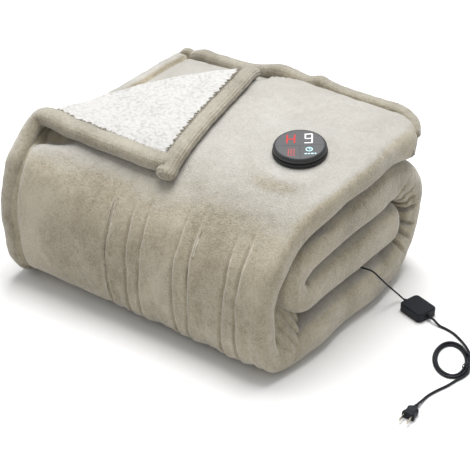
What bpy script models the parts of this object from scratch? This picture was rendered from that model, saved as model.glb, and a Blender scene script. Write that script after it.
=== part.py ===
"""Electric heated blanket, folded in four across its width and rolled into a soft block.

One corner of the top layer is turned back to show its fleece side. The round controller sits on
top, and the lead comes out of the roll at the right end and runs through an inline power box to a
coiled mains cord with a two-blade plug. Metres, +Z up. X runs along the folded width, from the
hemmed end at -X to the folded end at +X, and the front of the roll faces -Y. It rests on Z = 0.
"""

import math

import bmesh
import bpy
import numpy as np
from mathutils import Matrix, Vector
from mathutils.bvhtree import BVHTree

MM = 0.001
TOUCH = 0.3 * MM  # gap kept between pieces that touch

# Blanket
BLANKET_WIDTH = 2.286  # 90 inches
FOLDS_ACROSS = 4
BLOCK_LENGTH = BLANKET_WIDTH / FOLDS_ACROSS
HALF_LENGTH = BLOCK_LENGTH / 2
BLEND_END = 0.06  # from the left end to this X, the left section turns into the right one

# The fold line is the middle of the folded layers in a section across the block. It runs from the
# free end on top, round the front, underneath, up the back and into the middle of the roll.
# y, z and half (half the thickness) hold at the right end, left_y, left_z and left_half at the
# left end, and reach is how far along +X the folded edge comes.
FOLD_COLUMNS = ("y", "z", "half", "reach", "left_y", "left_z", "left_half")
FOLD_LINE = (
    (0.196, 0.272, 0.0250, 0.286, 0.250, 0.241, 0.0235),
    (0.142, 0.277, 0.0290, 0.288, 0.180, 0.2415, 0.0240),
    (0.080, 0.280, 0.0260, 0.287, 0.090, 0.2395, 0.0225),
    (0.000, 0.279, 0.0250, 0.284, 0.000, 0.239, 0.0220),
    (-0.060, 0.274, 0.0235, 0.280, -0.070, 0.240, 0.0205),
    (-0.111, 0.261, 0.0225, 0.272, -0.130, 0.247, 0.0200),
    (-0.162, 0.233, 0.0215, 0.262, -0.183, 0.246, 0.0185),
    (-0.202, 0.194, 0.0200, 0.254, -0.220, 0.219, 0.0180),
    (-0.222, 0.150, 0.0195, 0.251, -0.240, 0.172, 0.0180),
    (-0.226, 0.108, 0.0195, 0.252, -0.245, 0.116, 0.0180),
    (-0.226, 0.066, 0.0195, 0.256, -0.240, 0.070, 0.0180),
    (-0.213, 0.036, 0.0225, 0.266, -0.226, 0.040, 0.0190),
    (-0.176, 0.0335, 0.0330, 0.278, -0.180, 0.0265, 0.0260),
    (-0.115, 0.0395, 0.0390, 0.286, -0.120, 0.0325, 0.0320),
    (-0.040, 0.0405, 0.0400, 0.288, -0.040, 0.035, 0.0345),
    (0.050, 0.0405, 0.0400, 0.289, 0.050, 0.035, 0.0345),
    (0.125, 0.0460, 0.0385, 0.287, 0.135, 0.039, 0.0335),
    (0.172, 0.083, 0.0350, 0.283, 0.186, 0.072, 0.0310),
    (0.185, 0.126, 0.0340, 0.282, 0.200, 0.108, 0.0300),
    (0.172, 0.169, 0.0340, 0.282, 0.186, 0.146, 0.0300),
    (0.122, 0.2045, 0.0375, 0.282, 0.130, 0.177, 0.0325),
    (0.050, 0.2115, 0.0385, 0.281, 0.050, 0.183, 0.0330),
    (-0.030, 0.2085, 0.0370, 0.278, -0.040, 0.182, 0.0320),
    (-0.090, 0.2020, 0.0310, 0.274, -0.110, 0.180, 0.0285),
    (-0.140, 0.1845, 0.0265, 0.269, -0.165, 0.168, 0.0250),
    (-0.168, 0.1535, 0.0255, 0.266, -0.188, 0.138, 0.0235),
    (-0.149, 0.1235, 0.0275, 0.268, -0.160, 0.110, 0.0250),
    (-0.098, 0.1245, 0.0375, 0.272, -0.100, 0.108, 0.0330),
    (-0.030, 0.1265, 0.0405, 0.276, -0.030, 0.109, 0.0350),
    (0.050, 0.1265, 0.0405, 0.278, 0.050, 0.109, 0.0350),
    (0.142, 0.1265, 0.0400, 0.278, 0.156, 0.109, 0.0345),
)
CURVED_ROWS = (1, 3, 4, 5, 6, 7, 8, 9, 10, 11, 15, 16, 17, 18, 19, 20, 23, 24, 25, 26)  # an extra sample after each
EDGE_ANGLES = (0, 24, 45, 62, 76, 86)  # degrees round a folded edge, from the flat to the tip
TIP_ANGLES = (84, 60, 32, 0)  # degrees round the roll's free ends, from the tip to the flat
TIP_ROWS = (0.48, 0.66)  # samples that shape the hem next to the first free end
EDGE_FULLNESS = 0.76  # power that makes the folded edges fuller than a half circle
REACH_WAVE = 2.0 * MM
TOP_CORNER_X = 0.212  # where the top's back edge starts to round the right corner
TOP_CORNER_RADIUS = 84 * MM
TOP_CORNER_DROOP = 16 * MM
TOP_CORNER_ROWS = 2.6
HUMP_X = 0.004  # the back hem stands up highest here, over the end of the turned-back corner
HUMP_HALF = 48 * MM
HUMP_RISE = 9 * MM
FACE_WAVE = 1.6 * MM

# Hemmed left end
HEM_WIDTH = 24 * MM
HEM_RAISE = 4.5 * MM
HEM_GROOVE = 1.5 * MM
END_LAYERS = 4  # layers that show at the hemmed end of each band
END_LAYER_BULGE = 7 * MM
EDGE_ROUND = 8 * MM
LEFT_STATIONS = (0, 2 * MM, 8 * MM, 16 * MM, 22 * MM, 26 * MM, 31 * MM)  # from the end's plane
LAST_HEM_ROW = 12.0
TOP_ROWS = 6.2  # rows of the fold line that make the top of the block
TOP_LAYER = 14 * MM  # one layer of plush and fleece
SETTLED = 1.6 * MM  # cloth this close to the surface lies flat on it

# Sewn channels for the heating wire, straight down the front
CHANNEL_LINES = (-0.064, -0.024, 0.001, 0.071, 0.098, 0.168, 0.195)
CHANNEL_DEPTH = 2.6 * MM
CHANNEL_HALF = 5 * MM
CHANNEL_START = 6.2  # rows of the fold line between which the channels show
CHANNEL_END = 12.4
PLAIN_STATIONS = (-0.235, -0.205, -0.170, -0.135, -0.098, 0.036, 0.133)

# Controller
PUCK_X = 0.173
PUCK_Y = -0.038
PUCK_Z = 0.3030
PUCK_TILT_FRONT = math.radians(6.5)
PUCK_TILT_RIGHT = math.radians(1.5)
PUCK_BASE_RADIUS = 44 * MM
PUCK_BASE_HEIGHT = 7.5 * MM
PUCK_CASE_HEIGHT = 9 * MM
PUCK_FACE_RADIUS = 39 * MM
PUCK_FACE_HEIGHT = 1.6 * MM
PUCK_SEAT_FLAT = 62 * MM
PUCK_SEAT_BLEND = 95 * MM
ROUND_STEPS = 48

# Turned-back corner, in plan. The crease runs along the left end and then across to the back.
CREASE_ROUTE = (
    (-0.270, -0.165), (-0.262, -0.100), (-0.243, -0.025),
    (-0.210, 0.038), (-0.165, 0.090), (-0.110, 0.130), (-0.036, 0.156),
)
CREASE_SPLIT = 2  # the crease's point that is the far corner of the grid
CREASE_SLOPE = 20 * MM
FRONT_HEM_ROUTE = ((0.012, -0.160), (-0.080, -0.168), (-0.175, -0.168), (-0.270, -0.165))
SIDE_HEM_ROUTE = ((0.012, -0.160), (0.003, -0.055), (-0.013, 0.050), (-0.036, 0.156))
FRONT_HEM_LENGTH = 0.282
SIDE_HEM_LENGTH = 0.320
CORNER_HEM_WIDTH = 29 * MM
CORNER_HEM_TALL = 17 * MM
CORNER_HEM_INSETS = (0, 3 * MM, 9 * MM, 15 * MM, 21 * MM, 26 * MM, 29 * MM, 31 * MM, 32 * MM)
CORNER_RECESS = 16 * MM
CORNER_GAP = 0.4 * MM
CORNER_PLUSH = 5 * MM
CORNER_ARCHES = ((-0.245, -0.165, 8 * MM, 0.06),)  # x, y, height, spread
FLEECE_MARGIN = 1 * MM
FLEECE_INSETS = (0, 2 * MM, 6 * MM, 12 * MM)
CREASE_INSETS = (0, 2 * MM, 6 * MM, 11 * MM, 16 * MM, 22 * MM)
FLEECE_THICK = 9 * MM
FLEECE_EDGE = 8 * MM
FLEECE_LUMP = 0.8 * MM
CREST_RAISE = 4 * MM
CREST_SPREAD = 30 * MM
CREST_ROUND = 14 * MM
LOWEST_TOP = 0.20
GROUND_RINGS = (4 * MM, 8 * MM)

# Cord pieces
LEAD_RADIUS = 1.5 * MM
MAINS_RADIUS = 2.1 * MM
CORD_SPACING = 2.5  # diameters between points
CORD_SIDES = 2
CORD_ON_FLOOR = 2.4 * MM  # height of the mains cord's middle
LEAD_ROUTE = (
    (0.234, 0.0250, 0.0823), (0.252, 0.0260, 0.0825), (0.268, 0.0265, 0.0833), (0.281, 0.0290, 0.0815),
    (0.2925, 0.0370, 0.0670),
    (0.2985, 0.0530, 0.0465), (0.3035, 0.0690, 0.0275), (0.3080, 0.0805, 0.0135),
)
BOX_PLACE = (0.3490, 0.0715, 0.0)
BOX_ANGLE = math.radians(-17.0)
BOX_LENGTH = 50 * MM
BOX_WIDTH = 42 * MM
BOX_HEIGHT = 17 * MM
BOX_CORNER = 8 * MM
BOX_EDGE = 2 * MM
RELIEF_RADIUS = 3.6 * MM
RELIEF_LENGTH = 7 * MM
RELIEF_HEIGHT = 8.5 * MM
RELIEF_STRAIGHT = 5 * MM  # how far a cord runs straight out of its strain relief
MAINS_ROUTE = (
    (0.3980, 0.0580, 0.0030), (0.4100, 0.0575, 0.0024), (0.4260, 0.0540, 0.0024), (0.4430, 0.0455, 0.0024),
)
MAINS_TO_COIL = ((142, 3.0 * MM), (122, 0.2 * MM), (103, 0.0))  # turn in degrees, clearance
TAIL_FROM_COIL = ((50, 0.0), (32, 0.2 * MM), (12, 3.0 * MM))
COIL_CENTRE = (0.4565, -0.0105)
COIL_ANGLE = math.radians(-62.6)
COIL_LONG = 46 * MM
COIL_WIDE = 30.5 * MM
COIL_BAND = 9.5 * MM
COIL_HEIGHT = 8.6 * MM
COIL_LIFT = 1.3 * MM
COIL_STEPS = 44
TIE_TURN = 62
TIE_SWEEP = 5
TIE_GAP = 0.3 * MM
TIE_THICK = 0.8 * MM
TAIL_ROUTE = (
    (0.4822, -0.0700, 0.0024), (0.4740, -0.0920, 0.0024), (0.4690, -0.1100, 0.0024), (0.4680, -0.1250, 0.0034),
)
PLUG_PLACE = (0.4685, -0.1443, 0.0067)
PLUG_ANGLE = math.radians(-88.0)
PLUG_RINGS = (  # along, wide, thick, corner
    (0.0, 6.0 * MM, 6.0 * MM, 2.6 * MM),
    (6 * MM, 7.5 * MM, 7.0 * MM, 3.0 * MM),
    (9 * MM, 13 * MM, 10.5 * MM, 4.0 * MM),
    (13 * MM, 19 * MM, 12.6 * MM, 4.0 * MM),
    (20 * MM, 17 * MM, 12.0 * MM, 4.0 * MM),
    (27 * MM, 21 * MM, 13.0 * MM, 4.0 * MM),
    (30 * MM, 21 * MM, 13.0 * MM, 4.0 * MM),
)
BLADE_LENGTH = 16 * MM
BLADE_WIDTH = 6.3 * MM
BLADE_THICK = 1.5 * MM
BLADE_SPACING = 12.7 * MM


def smoothstep(value):
    """0 below 0 and 1 above 1, with an even slope between."""
    value = np.clip(value, 0.0, 1.0)
    return value * value * (3.0 - 2.0 * value)


def catmull_rom(points, at):
    """Points on the smooth curve through the rows of points, at row numbers that may be fractions."""
    padded = np.vstack([2 * points[0] - points[1], points, 2 * points[-1] - points[-2]])
    row = np.minimum(np.floor(at).astype(int), len(points) - 2)
    t = (at - row)[:, None]
    before, here, after, beyond = (padded[row + k] for k in range(4))
    linear = after - before
    square = 2 * before - 5 * here + 4 * after - beyond
    cube = 3 * here - before - 3 * after + beyond
    return 0.5 * (2 * here + linear * t + square * t**2 + cube * t**3)


def mesh_object(name, vertices, faces, color, roughness, metallic=0.0):
    """A smooth-shaded mesh object with its own material."""
    mesh = bpy.data.meshes.new(name)
    mesh.from_pydata([tuple(map(float, v)) for v in vertices], [], faces)
    mesh.validate()
    obj = bpy.data.objects.new(name, mesh)
    bpy.context.collection.objects.link(obj)
    work = bmesh.new()
    work.from_mesh(mesh)
    bmesh.ops.recalc_face_normals(work, faces=work.faces)
    bmesh.ops.triangulate(work, faces=[face for face in work.faces if len(face.verts) > 3])
    work.to_mesh(mesh)
    work.free()
    mesh.shade_smooth()
    mesh.set_sharp_from_angle(angle=math.radians(50))
    mesh.materials.append(plain_material(name, color, roughness, metallic))
    return obj


def plain_material(name, color, roughness, metallic=0.0):
    """One Principled material of the given colour."""
    material = bpy.data.materials.new(name)
    material.use_nodes = True
    shader = material.node_tree.nodes["Principled BSDF"]
    shader.inputs["Base Color"].default_value = (*color, 1.0)
    shader.inputs["Roughness"].default_value = roughness
    shader.inputs["Metallic"].default_value = metallic
    return material


PLUSH_COLOR = (0.42, 0.37, 0.29)
FLEECE_COLOR = (0.86, 0.84, 0.81)
DARK_COLOR = (0.02, 0.022, 0.028)
FACE_COLOR = (0.10, 0.10, 0.11)
BRASS_COLOR = (0.75, 0.72, 0.66)


# ---------------------------------------------------------------- rolled cloth


def sample_rows():
    """Row numbers of the fold line, some of them fractions, where a section is sampled."""
    rows = set(range(1, len(FOLD_LINE) - 1))
    rows |= {row + 0.5 for row in CURVED_ROWS}
    rows |= set(TIP_ROWS)
    return np.array(sorted(rows), float)


def left_share(x):
    """How much of the left end's section holds at x."""
    return 1.0 - smoothstep((x + HALF_LENGTH) / (BLEND_END + HALF_LENGTH))


def section(x):
    """The fold line's y, z, half and reach at x."""
    table = np.array(FOLD_LINE)
    right = table[:, :3]
    left = table[:, 4:]
    return np.hstack([right + (left - right) * left_share(x), table[:, 3:4]])


def free_end(tip, direction):
    """Samples round a free end, from its tip inwards: rows of y, z, half and reach, and shares."""
    angles = np.radians(TIP_ANGLES)
    samples = np.repeat(tip[None, :], len(angles), axis=0)
    samples[:, :2] += direction * (tip[2] * (1.0 - np.sin(angles)))[:, None]
    return samples, np.cos(angles)


def fold_samples(x):
    """The section at x as samples (y, z, half, reach), normals, thickness shares and row numbers."""
    rows = section(x)
    at = sample_rows()
    fine = catmull_rom(rows, at)
    step = 0.01
    ahead = catmull_rom(rows, at + step)[:, :2] - catmull_rom(rows, at - step)[:, :2]
    first = rows[1, :2] - rows[0, :2]
    last = rows[-2, :2] - rows[-1, :2]
    start, start_share = free_end(rows[0], first / np.linalg.norm(first))
    end, end_share = free_end(rows[-1], last / np.linalg.norm(last))
    samples = np.vstack([start, fine, end[::-1]])
    ahead = np.vstack([[first] * len(start), ahead, [-last] * len(end)])
    ahead /= np.linalg.norm(ahead, axis=1)[:, None]
    normals = np.stack([ahead[:, 1], -ahead[:, 0]], axis=1)
    shares = np.concatenate([start_share, np.ones(len(at)), end_share[::-1]])
    numbers = np.concatenate([np.zeros(len(start)), at, np.full(len(end), len(rows) - 1.0)])
    return samples, normals, shares, numbers


def stations():
    """Every station along the block, as (x, degrees round the folded edge or None)."""
    left = [-HALF_LENGTH + END_LAYER_BULGE + offset for offset in LEFT_STATIONS]
    middle = list(PLAIN_STATIONS)
    for x in CHANNEL_LINES:
        middle += [x - CHANNEL_HALF, x, x + CHANNEL_HALF]
    return [(x, None) for x in left + sorted(middle)] + [(None, angle) for angle in EDGE_ANGLES]


def hem(distance, width=HEM_WIDTH):
    """Height of a rolled hem over the cloth at a distance from its edge, with the groove beside it."""
    roll = HEM_RAISE * np.sin(np.pi * np.clip(distance / width, 0, 1)) ** 0.6
    groove = HEM_GROOVE * np.exp(-(((distance - width) / (3 * MM)) ** 2))
    return roll - groove


def channels(x, numbers):
    """Depth of the sewn lines on the front, and the slight swell of the wires between them."""
    window = smoothstep((numbers - CHANNEL_START) / 1.2) * smoothstep((CHANNEL_END - numbers) / 1.0)
    sunk = sum(np.exp(-(((x - line) / (0.5 * CHANNEL_HALF)) ** 2)) for line in CHANNEL_LINES)
    return -CHANNEL_DEPTH * np.minimum(sunk, 1.0) * window


def face_wave(x, travelled):
    """Soft unevenness of the outer cloth."""
    slow = np.sin(11.0 * x + 5.0 * travelled + 0.6) * np.sin(17.0 * travelled - 6.0 * x)
    quick = 0.5 * np.sin(31.0 * x - 12.0 * travelled) * np.sin(27.0 * travelled + 1.3)
    return FACE_WAVE * (slow + quick)


def behind_crease(x, y):
    """Signed distance in plan behind the crease of the turned-back corner."""
    route = np.array(CREASE_ROUTE)
    best = None
    for start, end in zip(route[:-1], route[1:]):
        along = end - start
        share = np.clip(((x - start[0]) * along[0] + (y - start[1]) * along[1]) / (along @ along), 0, 1)
        dx = x - start[0] - share * along[0]
        dy = y - start[1] - share * along[1]
        far = np.hypot(dx, dy)
        side = np.sign(along[0] * dy - along[1] * dx)
        if best is None:
            best = side * far
        else:
            best = np.where(far < np.abs(best), side * far, best)
    return best


def puck_seat(x, y):
    """Height of the plane that the controller rests on."""
    across = math.tan(PUCK_TILT_RIGHT) * (x - PUCK_X)
    return PUCK_Z + math.tan(PUCK_TILT_FRONT) * (y - PUCK_Y) - across


def round_top_corner(points, numbers):
    """Rounds the top's corner at the right back, in plan and downwards."""
    past = np.clip((points[:, 0] - TOP_CORNER_X) / TOP_CORNER_RADIUS, 0.0, 0.93)
    share = (1.0 - np.sqrt(1.0 - past**2)) * np.clip(1.0 - numbers / TOP_CORNER_ROWS, 0.0, 1.0) ** 0.8
    points[:, 1] -= TOP_CORNER_RADIUS * share
    points[:, 2] -= TOP_CORNER_DROOP * share


def top_lowering(x, y, numbers):
    """How far the cloth behind the crease lies lower, as one layer of it is turned back there."""
    lowered = TOP_LAYER * smoothstep((behind_crease(x, y) + CREASE_SLOPE) / CREASE_SLOPE)
    return np.where(numbers < TOP_ROWS, lowered, 0.0)


def seat_controller(points, on_top):
    """Flattens the cloth under the controller."""
    x, y = points[:, 0], points[:, 1]
    away = np.hypot(x - PUCK_X, y - PUCK_Y)
    flat = 1.0 - smoothstep((away - PUCK_SEAT_FLAT) / (PUCK_SEAT_BLEND - PUCK_SEAT_FLAT))
    flat = np.where(on_top, flat, 0.0)
    points[:, 2] += flat * (puck_seat(x, y) - TOUCH - points[:, 2])


def roll_station(x, angle):
    """Outer and inner points of one station of the rolled cloth."""
    nominal = HALF_LENGTH if x is None else x
    samples, normals, shares, numbers = fold_samples(nominal)
    half = samples[:, 2]
    steps = np.linalg.norm(np.diff(samples[:, :2], axis=0), axis=1)
    travelled = np.concatenate([[0.0], np.cumsum(steps)])
    outer_wrap = numbers <= LAST_HEM_ROW
    if angle is None:
        places = np.full(len(half), nominal)
        inset = nominal - (END_LAYER_BULGE - HALF_LENGTH)
        round_off = EDGE_ROUND - math.sqrt(max(EDGE_ROUND**2 - max(EDGE_ROUND - inset, 0.0) ** 2, 0.0))
        thickness = (half - round_off) * shares
        relief = np.where(outer_wrap, hem(inset), 0.0) + channels(nominal, numbers)
    else:
        reach = samples[:, 3] + REACH_WAVE * np.sin(38.0 * travelled) * np.sin(9.0 * travelled + 1.0)
        turn = math.radians(angle)
        out = math.sin(turn) ** EDGE_FULLNESS
        places = reach - half * (1.0 - out) - half * (1.0 - shares) * out
        thickness = half * shares * math.cos(turn) ** EDGE_FULLNESS
        relief = np.zeros(len(half))
    outer_cloth = smoothstep(numbers / 0.8) * smoothstep((13.0 - numbers) / 1.5)
    relief = relief + face_wave(places, travelled) * outer_cloth * thickness / half
    hump = HUMP_RISE * np.exp(-(((places - HUMP_X) / HUMP_HALF) ** 2) - (travelled / HEM_WIDTH - 0.6) ** 2)
    back_hem = (hem(travelled, HEM_WIDTH) + hump) * (numbers < 1.0) * shares
    relief = relief + back_hem - top_lowering(places, samples[:, 0], numbers) * shares
    outer = np.column_stack([places, samples[:, :2] + normals * (thickness + relief)[:, None]])
    inner = np.column_stack([places, samples[:, :2] - normals * thickness[:, None]])
    round_top_corner(outer, numbers)
    round_top_corner(inner, numbers)
    seat_controller(outer, numbers < TOP_ROWS)
    outer[:, 2] = np.where(outer[:, 2] < SETTLED, 0.0, outer[:, 2])
    return outer, inner


def layered_end(outer, inner):
    """Points across the hemmed end of each band, which bulges once for each of its layers."""
    steps = 2 * END_LAYERS
    rows = []
    for k in range(1, steps):
        share = k / steps
        row = outer + (inner - outer) * share
        row[:, 0] -= END_LAYER_BULGE * (k % 2)
        rows.append(row)
    return rows


def build_roll():
    """The rolled plush cloth, one solid from its free end on top to the one inside the roll."""
    outers, inners = zip(*(roll_station(x, angle) for x, angle in stations()))
    count = len(outers[0])
    sheets = list(outers) + list(inners)[::-1] + layered_end(outers[0], inners[0])[::-1]
    vertices = np.vstack(sheets)
    loops = len(sheets)
    faces = []
    for row in range(loops):
        here, there = row * count, (row + 1) % loops * count
        faces += [(here + k, here + k + 1, there + k + 1, there + k) for k in range(count - 1)]
    width = len(outers)
    for column in (0, count - 1):
        sides = [(k * count + column, (k + 1) * count + column,
                  (2 * width - 2 - k) * count + column, (2 * width - 1 - k) * count + column)
                 for k in range(width - 1)]
        rim = [row * count + column for row in range(2 * width - 1, loops)] + [column]
        faces += sides + [tuple(rim)]
    return mesh_object("plush_roll", vertices, faces, PLUSH_COLOR, 0.9)


# ---------------------------------------------------------------- turned-back corner


class Ground:
    """Height of the rolled cloth's top, straight down from above."""

    def __init__(self, obj):
        work = bmesh.new()
        work.from_mesh(obj.data)
        self.tree = BVHTree.FromBMesh(work)
        work.free()

    def height(self, x, y):
        hit = self.tree.ray_cast(Vector((x, y, 1.0)), Vector((0.0, 0.0, -1.0)))[0]
        return LOWEST_TOP if hit is None else hit.z

    def under(self, plan):
        """The highest cloth round each plan point."""
        ring = [(0.0, 0.0)] + [(r * math.cos(k), r * math.sin(k)) for r in GROUND_RINGS for k in range(6)]
        return np.array([[max(self.height(p[0] + dx, p[1] + dy) for dx, dy in ring) for p in row] for row in plan])


def through(route, share):
    """A plan point on the smooth curve through a short route, by its share of the way."""
    route = np.array(route, float)
    return catmull_rom(route, np.atleast_1d(share) * (len(route) - 1))


def corner_plan(across, back):
    """Plan points of the turned-back corner on a grid of shares, across towards the left end and
    back towards the back hem, between its two hems and its crease."""
    split = CREASE_SPLIT
    left = CREASE_ROUTE[: split + 1]
    rear = CREASE_ROUTE[split:][::-1]
    front_curve = through(FRONT_HEM_ROUTE, across)
    side_curve = through(SIDE_HEM_ROUTE, back)
    left_curve = through(left, back)
    rear_curve = through(rear, across)
    a = across[:, None, None]
    b = back[None, :, None]
    tip, end_left = front_curve_ends(FRONT_HEM_ROUTE)
    _, end_rear = front_curve_ends(SIDE_HEM_ROUTE)
    far = np.array(CREASE_ROUTE[split])
    edges = (1 - b) * front_curve[:, None] + b * rear_curve[:, None]
    edges = edges + (1 - a) * side_curve[None] + a * left_curve[None]
    corners = (1 - a) * (1 - b) * tip + a * (1 - b) * end_left + (1 - a) * b * end_rear + a * b * far
    return edges - corners


def front_curve_ends(route):
    """The first and last points of a route."""
    return np.array(route[0]), np.array(route[-1])


def slab(name, plan, bottom, top, color):
    """A closed solid between two height fields over one grid of plan points."""
    rows, columns = bottom.shape
    lower = np.dstack([plan, bottom]).reshape(-1, 3)
    upper = np.dstack([plan, top]).reshape(-1, 3)
    total = rows * columns
    faces = []
    for i in range(rows - 1):
        for j in range(columns - 1):
            a, b = i * columns + j, (i + 1) * columns + j
            for triangle in ((a, b, b + 1), (a, b + 1, a + 1)):
                faces += [triangle, tuple(total + k for k in triangle[::-1])]
    rim = [j for j in range(columns)]
    rim += [i * columns + columns - 1 for i in range(1, rows)]
    rim += [(rows - 1) * columns + j for j in range(columns - 2, -1, -1)]
    rim += [i * columns for i in range(rows - 2, 0, -1)]
    for here, there in zip(rim, rim[1:] + rim[:1]):
        faces.append((here, there, total + there, total + here))
    return mesh_object(name, np.vstack([lower, upper]), faces, color, 0.9)


def grid_shares(length, steps):
    """Shares of an edge's length for the corner's grid, and the numbers of its hem and recess lines."""
    last = length - CREASE_INSETS[-1]
    middle = np.linspace(CORNER_HEM_INSETS[-1], last, steps + 2)[1:-1]
    places = list(CORNER_HEM_INSETS) + list(middle) + [length - inset for inset in CREASE_INSETS[::-1]]
    return np.array(places) / length


def edge_distances(across, back):
    """Distance of each grid point from the nearer hemmed edge and from the crease, along the grid."""
    front, side = across[:, None] * FRONT_HEM_LENGTH, back[None, :] * SIDE_HEM_LENGTH
    return np.minimum(front, side), np.minimum(FRONT_HEM_LENGTH - front, SIDE_HEM_LENGTH - side)


def arch(plan):
    """How far the turned-back corner stands off the cloth, near the two ends of its crease."""
    lift = np.zeros(plan.shape[:2])
    for x, y, height, spread in CORNER_ARCHES:
        away = np.hypot(plan[..., 0] - x, plan[..., 1] - y)
        lift += height * np.exp(-((away / spread) ** 2))
    return lift


def round_share(distance, radius, least):
    """Height share of an edge rounded to a radius."""
    return np.sqrt(np.clip(1 - (1 - np.clip(distance / radius, 0, 1)) ** 2, least, 1))


def build_corner(ground):
    """The turned-back corner: its plush with the rolled hem, and the fleece that shows on it."""
    across = grid_shares(FRONT_HEM_LENGTH, 8)
    back = grid_shares(SIDE_HEM_LENGTH, 9)
    plan = corner_plan(across, back)
    edge, crease = edge_distances(across, back)
    cloth = ground.under(plan) + CORNER_GAP
    sheet = cloth + arch(plan) * smoothstep(crease / CORNER_RECESS)
    share = np.clip(edge / CORNER_HEM_WIDTH, 0, 1)
    hem_zone = edge < CORNER_HEM_WIDTH - MM
    rolled = CORNER_HEM_TALL * np.sqrt(np.clip(1 - (2 * share - 1) ** 2, 0.1, 1))
    plush_top = sheet + np.where(hem_zone, rolled, CORNER_PLUSH)
    plush_bottom = sheet + np.where(hem_zone, CORNER_HEM_TALL * 0.16 * (1 - np.sin(np.pi * share)), 0.0)
    recess = len(CREASE_INSETS) - 1 - CREASE_INSETS.index(CORNER_RECESS)
    end_across = len(across) - len(CREASE_INSETS) + recess + 1
    end_back = len(back) - len(CREASE_INSETS) + recess + 1
    plush = (slice(0, end_across), slice(0, end_back))
    slab("plush_corner", plan[plush], plush_bottom[plush], plush_top[plush], PLUSH_COLOR)
    first = len(CORNER_HEM_INSETS) - 1
    fleece = (slice(first, None), slice(first, None))
    covered = np.zeros(crease.shape, bool)
    covered[plush] = True
    low = np.where(covered, sheet + CORNER_PLUSH + TOUCH, cloth)
    crest = CREST_RAISE * np.exp(-((crease / CREST_SPREAD) ** 2))
    x, y = plan[..., 0], plan[..., 1]
    lumps = FLEECE_LUMP * np.sin(170 * x + 60 * y) * np.sin(140 * y - 50 * x)
    full = sheet + CORNER_PLUSH + FLEECE_THICK + crest + lumps
    edge_share = round_share(edge - CORNER_HEM_INSETS[-1], FLEECE_EDGE, 0.2)
    crest_share = round_share(crease, CREST_ROUND, 0.08)
    high = low + (full - low) * edge_share * crest_share
    slab("fleece_corner", plan[fleece], low[fleece], high[fleece], FLEECE_COLOR)


# ---------------------------------------------------------------- hard pieces


def circle(radius, steps=ROUND_STEPS):
    """Points round a circle."""
    angles = [2 * math.pi * k / steps for k in range(steps)]
    return [(radius * math.cos(angle), radius * math.sin(angle)) for angle in angles]


def rounded_rectangle(length, width, radius, steps=5):
    """Points round a rectangle with round corners."""
    points = []
    for quarter, (sx, sy) in enumerate(((1, 1), (-1, 1), (-1, -1), (1, -1))):
        for k in range(steps + 1):
            angle = math.pi / 2 * (quarter + k / steps)
            points.append((sx * (length / 2 - radius) + radius * math.cos(angle),
                           sy * (width / 2 - radius) + radius * math.sin(angle)))
    return points


def stacked(name, rings, placement, color, roughness, metallic=0.0):
    """A closed solid through rings of plan points, each at its own height, under a placement."""
    count = len(rings[0][0])
    vertices = [placement @ Vector((x, y, z)) for points, z in rings for x, y in points]
    faces = [tuple(range(count - 1, -1, -1))]
    for level in range(len(rings) - 1):
        base = level * count
        for k in range(count):
            after = (k + 1) % count
            faces.append((base + k, base + after, base + count + after, base + count + k))
    faces.append(tuple(range((len(rings) - 1) * count, len(rings) * count)))
    return mesh_object(name, vertices, faces, color, roughness, metallic)


def puck_placement():
    """Where the controller's underside lies on the cloth, tilted with it."""
    tilt = Matrix.Rotation(PUCK_TILT_RIGHT, 4, "Y") @ Matrix.Rotation(PUCK_TILT_FRONT, 4, "X")
    return Matrix.Translation((PUCK_X, PUCK_Y, PUCK_Z)) @ tilt


def build_controller():
    """The controller: a round foot, the case on it and the glossy display face let into its top."""
    place = puck_placement()
    radius, foot, case = PUCK_BASE_RADIUS, PUCK_BASE_HEIGHT, PUCK_CASE_HEIGHT
    foot_rings = [(circle(radius - 3 * MM), 0.0), (circle(radius - 0.8 * MM), 1.2 * MM),
                  (circle(radius), 3 * MM), (circle(radius), foot - 2 * MM), (circle(radius - 1.5 * MM), foot)]
    stacked("controller_foot", foot_rings, place, DARK_COLOR, 0.45)
    low = foot + TOUCH
    top = low + case
    case_rings = [(circle(radius - 3 * MM), low), (circle(radius - 1.5 * MM), low + 1.5 * MM),
                  (circle(radius - 1.5 * MM), top - 3.5 * MM), (circle(PUCK_FACE_RADIUS + 1.4 * MM), top),
                  (circle(PUCK_FACE_RADIUS + TOUCH), top), (circle(PUCK_FACE_RADIUS + TOUCH), top - PUCK_FACE_HEIGHT)]
    stacked("controller_case", case_rings, place, DARK_COLOR, 0.35)
    face_low = top - PUCK_FACE_HEIGHT + TOUCH
    face_rings = [(circle(PUCK_FACE_RADIUS), face_low), (circle(PUCK_FACE_RADIUS), top - 0.2 * MM),
                  (circle(PUCK_FACE_RADIUS - 0.8 * MM), top + 0.1 * MM)]
    stacked("controller_face", face_rings, place, FACE_COLOR, 0.2)


def smooth_route(route, spacing):
    """Evenly spaced points on the smooth curve through a route's points."""
    route = np.array(route, float)
    fine = catmull_rom(route, np.linspace(0, len(route) - 1, 40 * len(route)))
    steps = np.linalg.norm(np.diff(fine, axis=0), axis=1)
    travelled = np.concatenate([[0.0], np.cumsum(steps)])
    count = max(3, math.ceil(travelled[-1] / spacing))
    at = np.linspace(0, travelled[-1], count + 1)
    return np.column_stack([np.interp(at, travelled, fine[:, k]) for k in range(3)])


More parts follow.
